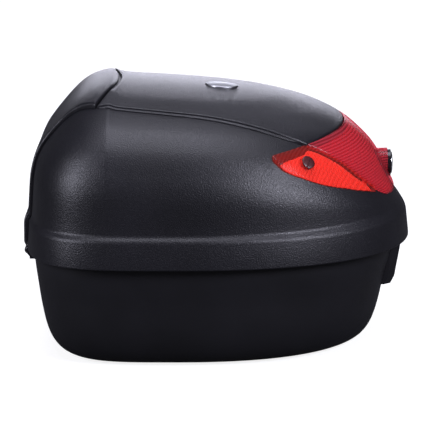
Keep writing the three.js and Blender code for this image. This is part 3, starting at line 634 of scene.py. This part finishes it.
def brushed_metal(name, colour, roughness, direction, depth=0.03):
    """Metal with fine drawn lines along one direction."""
    tree, shader = base_material(name, colour, roughness, 1.0)
    lines = mapped(tree, texture(tree, "Noise", 60, Detail=4.0), "Scale", direction)
    spread = remap(tree, lines.outputs["Fac"], roughness - 0.08, roughness + 0.12)
    tree.links.new(spread, shader.inputs["Roughness"])
    patches = texture(tree, "Noise", 60, Detail=3.0).outputs["Fac"]
    dull = tuple(channel * 0.82 for channel in colour)
    tree.links.new(blend_colours(tree, remap(tree, patches, 0, 1), dull, colour), shader.inputs["Base Color"])
    bump(tree, shader, lines.outputs["Fac"], depth)


def lens_plastic(name, tint, body, clear, gloss, axis, tilt):
    """Clear red plastic: see-through by a tinted share, glossy on top, with fine ribs inside."""
    tree, shader = base_material(name, body, 0.16)
    shader.inputs["Specular IOR Level"].default_value = gloss
    ribs = texture(tree, "Wave", 125, wave_profile="SIN", bands_direction=axis)
    mapped(tree, ribs, "Rotation", tilt)
    deep = tuple(channel * 0.3 for channel in body)
    tree.links.new(blend_colours(tree, ribs.outputs["Fac"], deep, body), shader.inputs["Base Color"])
    see = tree.nodes.new("ShaderNodeBsdfTransparent")
    see.inputs["Color"].default_value = (*tint, 1)
    both = mix_shaders(tree, 1 - clear, see.outputs["BSDF"], shader.outputs["BSDF"])
    tree.links.new(both, tree.nodes["Material Output"].inputs["Surface"])


def reflector_plastic(name, colour):
    tree, shader = base_material(name, colour, 0.5)
    cells = texture(tree, "Voronoi", 700, feature="F1")
    bright = tuple(min(channel * 1.5, 1) for channel in colour)
    share = remap(tree, cells.outputs["Distance"], 0, 1, 0.0, 0.9)
    tree.links.new(blend_colours(tree, share, bright, colour), shader.inputs["Base Color"])
    bump(tree, shader, cells.outputs["Distance"], 0.1)


moulded_plastic("base_plastic", (0.0065, 0.0063, 0.008), 0.45, 0.7, 0.03)
moulded_plastic("lid_plastic", (0.007, 0.0068, 0.0088), 0.38, 1.0, 0.2)
moulded_plastic("panel_plastic", (0.007, 0.0068, 0.0088), 0.32, 1.0, 0.2)
moulded_plastic("inner_plastic", (0.016, 0.016, 0.017), 0.5, 0.8, 0.05)
moulded_plastic("lock_black", (0.006, 0.006, 0.007), 0.22, 0.5, 0.0)
rubber("seal_rubber", (0.01, 0.01, 0.01))
lens_plastic("centre_lens_red", (0.92, 0.3, 0.36), (0.66, 0.065, 0.09), 0.62, 0.34, "Z",
             (0, 0.12, 0))
lens_plastic("side_lens_red", (1.0, 0.56, 0.5), (0.72, 0.08, 0.07), 0.82, 0.15, "X",
             (0, 0, 0.5))
reflector_plastic("reflector_red", (1.0, 0.3, 0.25))
moulded_plastic("lens_screw_maroon", (0.045, 0.004, 0.005), 0.35, 0.5, 0.0)
brushed_metal("badge_silver", (0.52, 0.53, 0.55), 0.34, (1, 14, 1))
brushed_metal("lock_chrome", (0.82, 0.83, 0.84), 0.16, (1, 6, 6), 0.006)
brushed_metal("steel", (0.5, 0.51, 0.53), 0.34, (8, 1, 8))
brushed_metal("screw_dark", (0.06, 0.06, 0.065), 0.38, (4, 1, 4))


# ------------------------ camera, floor and light
def aimed(thing, place, target):
    thing.location = place
    thing.rotation_mode = "QUATERNION"
    thing.rotation_quaternion = (Vector(target) - Vector(place)).to_track_quat("-Z", "Y")
    bpy.context.scene.collection.objects.link(thing)


def build_camera():
    height, distance, elevation = 118.8, 2400.0, math.radians(12.6)
    camera = bpy.data.cameras.new("camera")
    camera.lens = 191.5
    camera.sensor_width = 36.0
    target = metres((0, 0, height))
    offset = np.array([0, -math.cos(elevation), math.sin(elevation)]) * distance * MM
    view = bpy.data.objects.new("camera", camera)
    aimed(view, target + offset, target)
    bpy.context.scene.camera = view


def area_light(name, place, target, size, power_w, colour=(1, 1, 1)):
    lamp = bpy.data.lights.new(name, "AREA")
    lamp.shape = "RECTANGLE"
    lamp.size, lamp.size_y = size
    lamp.energy = power_w
    lamp.color = colour
    aimed(bpy.data.objects.new(name, lamp), place, target)


def soft_step(tree, source, low, high):
    """A smooth ramp from 0 at low to 1 at high."""
    ramp = remap(tree, source, 0, 1, low, high)
    ramp.node.interpolation_type = "SMOOTHSTEP"
    return ramp


def maths(tree, operation, first, second):
    node = tree.nodes.new("ShaderNodeMath")
    node.operation = operation
    for socket, value in zip(node.inputs, (first, second)):
        if isinstance(value, (int, float)):
            socket.default_value = value
        else:
            tree.links.new(value, socket)
    return node.outputs["Value"]


def build_floor():
    """A pale floor, white to the eye; it throws little light back up at the object."""
    reach = 30.0
    corners = [(-reach, -reach, 0), (reach, -reach, 0), (reach, reach, 0), (-reach, reach, 0)]
    mesh = bpy.data.meshes.new("floor")
    mesh.from_pydata(corners, [], [(0, 1, 2, 3)])
    floor = bpy.data.objects.new("floor", mesh)
    bpy.context.scene.collection.objects.link(floor)
    tree, shader = base_material("floor_paint", (0.07, 0.07, 0.07), 0.9)
    shader.inputs["Specular IOR Level"].default_value = 0.0
    pale = tree.nodes.new("ShaderNodeBsdfDiffuse")
    pale.inputs["Color"].default_value = (0.3, 0.3, 0.3, 1)
    glow = tree.nodes.new("ShaderNodeEmission")
    glow.inputs["Strength"].default_value = 0.83
    seen = tree.nodes.new("ShaderNodeAddShader")
    tree.links.new(pale.outputs["BSDF"], seen.inputs[0])
    tree.links.new(glow.outputs["Emission"], seen.inputs[1])
    both = eye_and_light(tree, shader.outputs["BSDF"], seen.outputs["Shader"])
    tree.links.new(both, tree.nodes["Material Output"].inputs["Surface"])
    mesh.materials.append(materials["floor_paint"])


def build_world():
    """White to the eye; as light, a bright low backdrop, a soft ceiling and dim walls."""
    world = bpy.data.worlds.new("studio")
    bpy.context.scene.world = world
    world.use_nodes = True
    tree = world.node_tree
    soft = tree.nodes["Background"]
    soft.inputs["Color"].default_value = (0.86, 0.86, 1, 1)
    place = tree.nodes.new("ShaderNodeTexCoord")
    split = tree.nodes.new("ShaderNodeSeparateXYZ")
    tree.links.new(place.outputs["Generated"], split.inputs["Vector"])
    backdrop_strength, ceiling_strength, wall_strength = 4.8, 7.0, 0.06
    behind = soft_step(tree, split.outputs["Y"], 0.6, 0.9)
    sideways = maths(tree, "ABSOLUTE", split.outputs["X"], 0.0)
    narrow = maths(tree, "MULTIPLY", behind, soft_step(tree, sideways, 0.3, 0.08))
    low = soft_step(tree, split.outputs["Z"], 0.25, 0.13)
    backdrop = maths(tree, "MULTIPLY", maths(tree, "MULTIPLY", narrow, low), backdrop_strength)
    high = soft_step(tree, split.outputs["Z"], 0.9, 0.99)
    ceiling = maths(tree, "MULTIPLY", high, ceiling_strength)
    light = maths(tree, "ADD", maths(tree, "ADD", backdrop, ceiling), wall_strength)
    tree.links.new(light, soft.inputs["Strength"])
    seen = tree.nodes.new("ShaderNodeBackground")
    seen.inputs["Color"].default_value = (1, 1, 1, 1)
    both = eye_and_light(tree, soft.outputs["Background"], seen.outputs["Background"])
    tree.links.new(both, tree.nodes["World Output"].inputs["Surface"])


def build_studio():
    build_floor()
    build_world()
    cool = (0.85, 0.85, 1)
    area_light("back_top", (0.2, 1.6, 1.6), (0, 0, 0.2), (2.0, 0.8), 4, cool)
    area_light("left", (-1.7, -1.0, 1.0), (-0.1, 0, 0.15), (0.6, 1.0), 34, cool)
    area_light("right", (1.5, -1.4, 1.3), (0.1, 0, 0.15), (0.8, 0.8), 58, cool)
    bpy.context.scene.view_settings.view_transform = "Standard"


# ------------------------ lid
def lens_window(name, plan, us, vs):
    """A cutter that opens the lid behind a lens."""
    u, v = np.meshgrid(us, vs)
    flat = plan(u, v)
    x, y = flat[..., 0], flat[..., 1]
    return grid_solid(name, draped(x, y, 4), draped(x, y, -9))


def lock_bore(clearance):
    """A cutter along the lock, wider than its barrel by the clearance."""
    return rod(120, 195, LOCK["barrel"] + clearance, (1, 0, 0), (0, 0, LOCK["z"]))


def build_lid_shell():
    reaches = np.concatenate([np.linspace(0.04, 0.5, 12), np.linspace(0.53, 0.9, 26),
                              np.linspace(0.91, 0.995, 16)])
    foot = lid_ring(0, 1)
    path = [
        lid_ring(0, 0.995),
        foot,
        outline(SKIRT_HIGH, SKIRT_HIGH_Z),
        outline(SKIRT_LOW, SKIRT_LOW_Z),
        outline(SKIRT_LOW - WALL, SKIRT_LOW_Z),
        outline(SKIRT_HIGH - WALL, LID_SEAL_Z),
        outline(LID_FOOT - WALL - 0.6, LID_SEAL_Z),
        lid_ring(-WALL, 0.99),
    ]
    skirt = rounded(path, [2.0, 2.4, 1.3, 0.9, 1.0, 0.8])
    inner = [lid_ring(-WALL, reach) for reach in reaches[::-2]]
    shell = loft("lid_shell_fine", [lid_ring(0, reach) for reach in reaches[:-1]] + skirt + inner)
    cutters = [
        lens_window("window", centre_window, np.linspace(0, 1, 60), np.linspace(0, 1, 14)),
        lens_window("window_right", wing_window, np.linspace(0, 1, 60), np.linspace(0, 1, 6)),
    ]
    cutters.append(mirrored(cutters[1], "window_left"))
    cutters.append(lock_bore(1.3))
    for side in (-1, 1):
        y = side * HINGE["y"]
        cutters.append(block("notch", (-204, y - 21, 96), (-184, y + 21, SKIRT_LOW_Z + 1.2), 0.4))
    boolean(shell, cutters)
    hinge_parts = []
    for side in (-1, 1):
        y = side * HINGE["y"]
        tube = [(-6, 2.1), (-6, 4.2), (6, 4.2), (6, 2.1), (-6, 2.1)]
        hinge_parts.append(turned("barrel", tube, (0, 1, 0), (HINGE["x"], y, HINGE["z"]), 48))
        hinge_parts.append(block("web", (-189.2, y - 6, 103.2), (-186, y + 6, SKIRT_LOW_Z + 4), 0.3))
    boolean(shell, hinge_parts, "UNION")
    finish_piece(shell, "lid", "lid_plastic")


def build_top_cover():
    """The raised cover, with a low flange along its sides and a well for the badge."""
    flange_width, flange_rise, low = 2.6, 1.1, 0.3
    round_off = [(0, 2.1), (0.15, 2.5), (0.45, 2.78), (0.9, 2.94), (1.5, 3.0)]
    columns = [(1, 1, low + 0.35), (1, 0.92, 0.95), (1, 0.75, flange_rise), (1, 0.1, flange_rise),
               (1, 0.0, flange_rise + 0.15)]
    columns += [(1 - offset / GROOVE["half"], 0, rise) for offset, rise in round_off]
    inner = [(t, 0, COVER_RISE) for t in np.linspace(0.965, 0, 42)]
    half = columns + inner
    table = np.array(half + [(-t, k, rise) for t, k, rise in half[-2::-1]])
    signs = np.concatenate([np.ones(len(half)), -np.ones(len(half) - 1)])
    length = 200.0
    offsets = [offset for offset, _ in round_off]
    v = clustered(length, offsets + [3.0], 70)[:, None]
    end_rise = np.interp(np.minimum(v, 1 - v) * length, *zip(*round_off))
    t, flange, side_rise = table.T
    edge = upper_edge((t + 1) / 2)
    start_y = t * GROOVE["half"]
    start_x = groove_x(start_y) + GROOVE["half_width"]
    x = start_x + (edge[:, 0] - 0.5 - GAP - start_x) * v
    widening = smooth_rise(COVER_SIDE, v) / (COVER_SIDE[0][1] + (COVER_SIDE[-1][1] - COVER_SIDE[0][1]) * v)
    y = (start_y + (edge[:, 1] - start_y) * v) * widening
    taper = np.interp(x, [-115, -107, 55, 84], [0.2, 1, 1, 0])
    y = y + signs * flange * flange_width * taper
    rise = np.minimum(side_rise, np.maximum(end_rise, low + 0.3))
    cover = grid_solid("top_cover_fine", draped(x, y, rise), draped(x, y, low))
    axis, place = badge_frame()
    boolean(cover, [rod(-1.7, 4, BADGE["radius"] + 0.9, axis, place)])
    finish_piece(cover, "lid", "panel_plastic")


def badge_frame():
    """Axis and centre of the badge, square to the cover."""
    tilt = math.atan(CREST_FALL + 2 * CREST_BOW * (BADGE["x"] - CREST_X))
    place = (BADGE["x"], 0, float(crest_height(BADGE["x"])) + COVER_RISE)
    return (math.sin(tilt), 0, math.cos(tilt)), place


def build_badge():
    """A plain silver disc with a raised rim, a fine ring and a shallow dome."""
    radius = BADGE["radius"]
    axis, place = badge_frame()
    profile = [(-1.3, 0), (-1.3, radius - 0.2), (-1.1, radius), (0.5, radius), (1.0, radius - 0.25),
               (1.25, radius - 0.8), (1.2, radius - 1.3), (0.95, radius - 1.7), (1.05, radius - 2.3)]
    dome = [(1.05 + 1 - share ** 2, (radius - 2.3) * share) for share in np.linspace(1, 0, 14)[1:]]
    badge = turned("badge_fine", profile + dome, axis, place, 128)
    finish_piece(badge, "lid", "badge_silver", angle=math.radians(50))


def skirt_front(front, half, y):
    """X of the front of a plan outline, at distances y from the middle."""
    share = np.minimum(np.abs(y) / half, 1) ** FRONT_POWER
    return WIDEST_X - front * (1 - share) ** (1 / FRONT_POWER)


def build_backrest():
    """The raised panel from the groove down over the front of the case."""
    corner, half_width, length = 1.9, 100, 140
    edge = np.array([0, 0.15, 0.45, 0.95, 1.6]) / half_width
    t = np.concatenate([-1 + edge, np.linspace(-0.976, 0.976, 60), 1 - edge[::-1]])
    from_side = (1 - np.abs(t)) * half_width
    face_share = 0.8
    tops, bottoms = [], []

    def drop(*distances):
        """How far the rounded rim lies below the face, at distances from the panel's edges."""
        inner = sum((corner - np.minimum(distance, corner)) ** 2 for distance in distances)
        return corner - np.sqrt(np.maximum(corner ** 2 - inner, 0))

    for share in np.concatenate([[0, 0.0012, 0.0035, 0.007, 0.011], np.linspace(0.02, 1, 74)]):
        y = t * smooth_rise(BACKREST_SIDE, face_share * share)
        low_rise, high_rise = BACKREST_RISE
        face = low_rise + (high_rise - low_rise) * (y / GROOVE["half"]) ** 2 - FACET_SAG
        slide = math.sin(share * math.pi / 2)
        for rise, rows in ((face - drop(from_side, share * length), tops), (0.3 + 0 * y, bottoms)):
            start = groove_x(y) - GROOVE["half_width"]
            x = start + (skirt_front(LID_FOOT[0] + rise, LID_FOOT[2] + rise, y) - start) * slide
            rows.append(draped(x, y, rise))
    lower = [(0.82, -2.6, SKIRT_HIGH_Z + 6), (0.84, -1.3, SKIRT_HIGH_Z + 4), (0.86, -0.7, SKIRT_HIGH_Z + 2),
             (0.88, -0.25, SKIRT_HIGH_Z), (0.9, 0, SKIRT_HIGH_Z - 4), (0.93, 0, SKIRT_LOW_Z + 12),
             (0.96, 0, SKIRT_LOW_Z + 6.5), (0.97, -0.2, SKIRT_LOW_Z + 5.4),
             (0.985, -0.8, SKIRT_LOW_Z + 3.8), (1, -1.8, SKIRT_LOW_Z + 2.3)]
    for share, outward, z in lower:
        y = t * smooth_rise(BACKREST_SIDE, share)
        height = np.full_like(y, z)
        tops.append(np.stack([BACKREST_FACE_X - outward + drop(from_side), y, height], -1))
        band = np.clip((z - SKIRT_LOW_Z) / (SKIRT_HIGH_Z - SKIRT_LOW_Z), 0, 1)
        ledge = np.clip((z - SKIRT_HIGH_Z) / 6, 0, 1)
        front, _, half = SKIRT_LOW + (SKIRT_HIGH - SKIRT_LOW) * band
        front = front + (LID_FOOT[0] - front) * ledge + 0.3
        bottoms.append(np.stack([skirt_front(front, half, y), y, height], -1))
    panel = grid_solid("backrest_panel_fine", np.array(tops), np.array(bottoms))
    finish_piece(panel, "lid", "panel_plastic")


def build_lenses():
    def full_rise(v):
        return COVER_RISE + 0 * v

    def wing_rise(v):
        return WING_EDGE_RISE + (COVER_RISE - WING_EDGE_RISE) * v

    us, vs = clustered(250, RIM_OFFSETS, 110), clustered(62, RIM_OFFSETS, 34)
    centre = raised_panel("centre_lens_fine", centre_plan, us, vs, LENS_LOW, full_rise, 0.9)
    hood = [(150, LOCK["barrel"] + 0.7), (150, LOCK["hood"]), (LOCK["ring_x"] - GAP, LOCK["hood"]),
            (LOCK["ring_x"] - GAP, LOCK["barrel"] + 0.7), (150, LOCK["barrel"] + 0.7)]
    lock_centre = (0, 0, LOCK["z"])
    tube = turned("hood", hood, (1, 0, 0), lock_centre, 96)
    x, y = np.meshgrid(np.linspace(140, 186, 30), np.linspace(-22, 22, 24))
    boolean(tube, [grid_solid("under", draped(x, y, LENS_LOW), draped(x, y, -45))])
    boolean(centre, [lock_bore(0.7), rod(LOCK["ring_x"] - GAP, 195, 14.4, (1, 0, 0), lock_centre)])
    boolean(centre, [tube], "UNION")
    finish_piece(centre, "lid", "centre_lens_red")

    us, vs = clustered(128, RIM_OFFSETS, 90), clustered(24, RIM_OFFSETS, 22)
    wing = raised_panel("side_lens_right_fine", wing_plan, us, vs, LENS_LOW, wing_rise, 0.7)
    axis, place = lens_screw_frame()
    boolean(wing, [rod(-1.4, 6, 7.4, axis, place, 64), rod(-14, 2, 2.4, axis, place, 32)])
    left = mirrored(wing, "side_lens_left_fine")
    finish_piece(wing, "lid", "side_lens_red")
    finish_piece(left, "lid", "side_lens_red")


def lens_screw_frame():
    """Axis and head centre of the screw in the right wing, square to the lens."""
    x, y = LENS_SCREW
    slope_x = float(lid_height(x + 1, y, COVER_RISE) - lid_height(x - 1, y, COVER_RISE)) / 2
    slope_y = float(lid_height(x, y + 1, COVER_RISE) - lid_height(x, y - 1, COVER_RISE)) / 2
    return (-slope_x, -slope_y, 1.0), (x, y, float(lid_height(x, y, COVER_RISE)))


def build_reflectors():
    """Ribbed reflector strips behind the lenses."""
    rib_pitch, rib_depth = 3.0, 0.35

    def across(u, v, x, y):
        return rib_depth * np.abs(((v * 55 / rib_pitch) % 1) * 2 - 1)

    def along(u, v, x, y):
        return rib_depth * np.abs(((u * 110 / rib_pitch) % 1) * 2 - 1)

    def level(v):
        return -1.2 + 0 * v

    centre = raised_panel("centre_reflector_fine", centre_window, np.linspace(0, 1, 90),
                          np.linspace(0, 1, 139), -5.0, level, 0.4, across)
    boolean(centre, [lock_bore(0.9)])
    finish_piece(centre, "lid", "reflector_red")
    wing = raised_panel("side_reflector_right_fine", wing_window, np.linspace(0, 1, 276),
                        np.linspace(0, 1, 16), -5.0, level, 0.4, along)
    axis, place = lens_screw_frame()
    boolean(wing, [rod(-9, -2.2, 5, axis, place, 48)], "UNION")
    boolean(wing, [rod(-14, 2, 2.4, axis, place, 32)])
    left = mirrored(wing, "side_reflector_left_fine")
    finish_piece(wing, "lid", "reflector_red")
    finish_piece(left, "lid", "reflector_red")


def build_lens_screws():
    """Round-headed screws with one slot."""
    axis, place = lens_screw_frame()
    profile = [(-10, 0), (-10, 1.5), (-9, 2), (-1.1, 2), (-1.1, 6.5), (-0.8, 6.8), (0.1, 6.8), (0.4, 6.2),
               (0.6, 4.4), (0.7, 0)]
    screw = turned("lens_screw_right_fine", profile, axis, place, 64)
    slot = block("slot", (-9, -0.9, -0.5), (9, 0.9, 3))
    slot.data.transform(Matrix.Translation(Vector((CENTRE_X * MM, 0, 0))))
    turn = Vector(axis).to_track_quat("Z", "Y").to_matrix().to_4x4() @ Matrix.Rotation(0.9, 4, "Z")
    slot.data.transform(Matrix.Translation(Vector(metres(place))) @ turn)
    boolean(screw, [slot])
    left = mirrored(screw, "lens_screw_left_fine")
    finish_piece(screw, "lid", "lens_screw_maroon")
    finish_piece(left, "lid", "lens_screw_maroon")


# ------------------------ lock and latch
def build_lock():
    centre, axis = (0, 0, LOCK["z"]), (1, 0, 0)
    ring_x, bore, barrel = LOCK["ring_x"], LOCK["bore"], LOCK["barrel"]
    sleeve = [(147.3, 7.4), (150, 7.4), (150, bore), (182.6, bore), (183, bore + 0.4), (183, 13.5),
              (182.6, 13.9), (ring_x, 13.9), (ring_x, barrel), (147.3, barrel), (147.3, 7.4)]
    finish_piece(turned("lock_barrel_fine", sleeve, axis, centre), "lid", "lock_black")
    cap = LOCK["cap"]
    button = [(146.3, 0), (146.3, 2.2), (146.6, 2.5), (152.5, 2.5), (152.5, 6.7), (152.8, 7), (172, 7),
              (172, cap), (183.0, cap), (183.6, cap - 0.2), (184.2, cap - 0.9), (184.6, cap - 2.3),
              (184.8, 7.4), (184.8, 6.7), (184.5, 6.4), (174, 6.4), (174, 0)]
    finish_piece(turned("lock_button_fine", button, axis, centre), "lock_button", "lock_chrome")
    plug = [(174.4, 0), (174.4, 6), (184.4, 6), (184.9, 5.6), (185.05, 5.0), (185.1, 0)]
    key = turned("key_plug_fine", plug, axis, centre, 64)
    boolean(key, [block("slot", (180, -0.7, LOCK["z"] - 3.6), (190, 0.7, LOCK["z"] + 3.6), 0.2)])
    finish_piece(key, "key_plug", "lock_chrome")
    start, end = 150.4, 171.6
    spring = coil("button_spring_fine", "x", centre, start, end, 9.3, 0.8, 4)
    finish_piece(spring, "lid", "steel")
    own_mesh(spring)


# ------------------------ base
def base_rings(inset, lift, heights):
    """Rings of the base at the given heights, drawn in by inset and raised by lift at the floor."""
    z, front, side, rear = np.array(BASE_LEVELS, float).T
    rings = []
    for height in heights:
        inward = [float(smooth_rise(list(zip(z, values)), height)) for values in (front, rear, side)]
        axes = BASE_RIM - inward - inset
        rings.append(outline(axes, height + lift * (1 - height / SEAL_Z)))
    return rings


def build_base_shell():
    heights = np.concatenate([[0, 0.25, 0.6, 1.1, 1.8, 2.6, 3.6, 5, 7], np.linspace(9.5, 126.6, 44)])
    outer = base_rings(0, 0, heights)
    inner = base_rings(WALL, 3.5, heights)
    rim = [outer[-1], outline(BASE_RIM + 0.5, SEAL_Z), outline(BASE_RIM + 0.5 - WALL, SEAL_Z), inner[-1]]
    rings = outer[:-1] + rounded(rim, [0.8, 0.8]) + inner[:-1][::-1]
    shell = loft("base_shell_fine", rings)
    floor_block = block("floor_block", (-84, -67, 1.5), (137, 67, 9.5), 1.2)
    boolean(shell, [floor_block], "UNION")
    cutters = [block("pocket", (-70, -62, -4), (132, 62, 6), 1.0)]
    for side in (-1, 1):
        cutters.append(block("lug_slot", (-80, side * 42 - 12, 1.5), (-66, side * 42 + 12, 6.0), 0.3))
        for end in (-1, 1):
            place = (0, side * HINGE["y"] + end * HINGE_SCREW["y"], HINGE_SCREW["z"])
            cutters.append(rod(-187.6, -170, 1.9, (1, 0, 0), place, 24))
        place = (0, side * STRIKER_SCREW["y"], STRIKER_SCREW["z"])
        cutters.append(rod(178, 186.2, 1.9, (1, 0, 0), place, 24))
    cutters.append(block("bolt_hole", (BOLT_X - 6.5, -8.5, 3), (BOLT_X + 6.5, 8.5, 12), 0.4))
    cutters.append(block("arm_slot", (160, -6, TAB["z"] - 7), (195, 6, TAB["z"] + 10), 0.4))
    boolean(shell, cutters)
    finish_piece(shell, "base", "base_plastic")


def build_gasket():
    """Seal with a rounded lip, on the rim of the base."""
    path = [outline(BASE_RIM + 0.3, SEAL_Z + GAP), outline(BASE_RIM - 0.1, SEAL_Z + 4.3),
            outline(BASE_RIM - 1.0, SEAL_Z + 4.6), outline(BASE_RIM - 2.0, SEAL_Z + 4.3),
            outline(BASE_RIM - 2.2, SEAL_Z + GAP)]
    finish_piece(loft("rim_gasket_fine", path, closed=True), "base", "seal_rubber", angle=math.radians(60))


def build_hinges():
    for side, word in ((-1, "right"), (1, "left")):
        y = side * HINGE["y"]
        refined(f"hinge_bracket_{word}", "base", "base_plastic", 0.4)
        pin = [(-21.4, 0), (-21.4, 2.8), (-21.1, 3.2), (-20.5, 3.2), (-20.3, 3.0), (-20.3, 1.8),
               (19.8, 1.8), (20.2, 1.4), (20.2, 0)]
        place = (HINGE["x"], y, HINGE["z"])
        finish_piece(turned(f"hinge_pin_{word}_fine", pin, (0, 1, 0), place, 48), "base", "screw_dark")
        for number, end in ((1, -1), (2, 1)):
            head = [(-187.2, 0), (-187.2, 1.3), (-186.9, 1.6), (-177.2, 1.6), (-177.2, 3.6), (-177.0, 3.8),
                    (-176.4, 3.7), (-175.8, 3.2), (-175.6, 2.4), (-175.6, 0)]
            place = (0, y + end * HINGE_SCREW["y"], HINGE_SCREW["z"])
            cross_headed(f"hinge_screw_{word}_{number}", head, place, -175.6, 1, "base")


def cross_headed(node, profile, place, face, outward, body):
    """A small screw along X with a cross recess in its head."""
    screw = turned(node + "_fine", profile, (1, 0, 0), place, 40)
    depth, reach, half = 1.1, 2.0, 0.4       # of the cross recess
    inner, outer = sorted((face - outward * depth, face + outward * 0.5))
    _, y, z = place
    boolean(screw, [block("slot", (inner, y - reach, z - half), (outer, y + reach, z + half)),
                    block("slot", (inner, y - half, z - reach), (outer, y + half, z + reach))])
    finish_piece(screw, body, "screw_dark")


def build_inner_screws():
    for side, word in ((-1, "right"), (1, "left")):
        lock_cover = [(124.1, 0), (124.1, 2.6), (124.4, 3.1), (125.4, 3.6), (125.7, 3.6), (125.7, 1.6),
                      (136.6, 1.6), (137, 1.2), (137, 0)]
        place = (0, side * COVER_SCREW["y"], COVER_SCREW["z"])
        cross_headed(f"lock_cover_screw_{word}", lock_cover, place, 124.1, -1, "lid")
        striker = [(179.4, 0), (179.4, 2.0), (179.7, 2.5), (180.6, 3.0), (180.9, 3.0), (180.9, 1.6),
                   (185.4, 1.6), (185.8, 1.2), (185.8, 0)]
        place = (0, side * STRIKER_SCREW["y"], STRIKER_SCREW["z"])
        cross_headed(f"striker_screw_{word}", striker, place, 179.4, -1, "base")


def pivot_pin(node, half, radius, place, body):
    """A plain pin across the case, with broken edges."""
    edge = 0.3
    profile = [(-half, 0), (-half, radius - edge), (edge - half, radius), (half - edge, radius),
               (half, radius - edge), (half, 0)]
    finish_piece(turned(node + "_fine", profile, (0, 1, 0), place, 48), body, "steel")


def build_plate_release():
    refined("release_housing", "base", "base_plastic", 1.0, 4)
    refined("release_tab", "release_tab", "base_plastic", 0.6)
    refined("plate_bolt", "plate_bolt", "steel", 0.5)
    refined("mechanism_cover", "base", "inner_plastic", 0.6)
    pivot_pin("release_tab_pin", 33, 1.6, (TAB["x"], 0, TAB["z"]), "base")
    start, end = 17.3, TAB["z"] - 26
    spring = coil("bolt_spring_fine", "z", (BOLT_X, 0, 0), start, end, 5, 0.8, 5)
    finish_piece(spring, "base", "steel")
    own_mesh(spring)


def build_latch():
    refined("latch_hook", "latch_hook", "steel", 0.5)
    refined("striker", "base", "steel", 0.4)
    refined("lock_housing", "lid", "inner_plastic")
    refined("lock_cover", "lid", "inner_plastic", 0.5)
    pivot_pin("hook_pin", 18.6, 2, (LATCH["x"], 0, LATCH["z"]), "lid")


build_camera()
build_studio()
build_lid_shell()
build_top_cover()
build_backrest()
build_badge()
build_lenses()
build_reflectors()
build_lens_screws()
build_lock()
build_latch()
build_base_shell()
build_gasket()
build_hinges()
build_inner_screws()
build_plate_release()
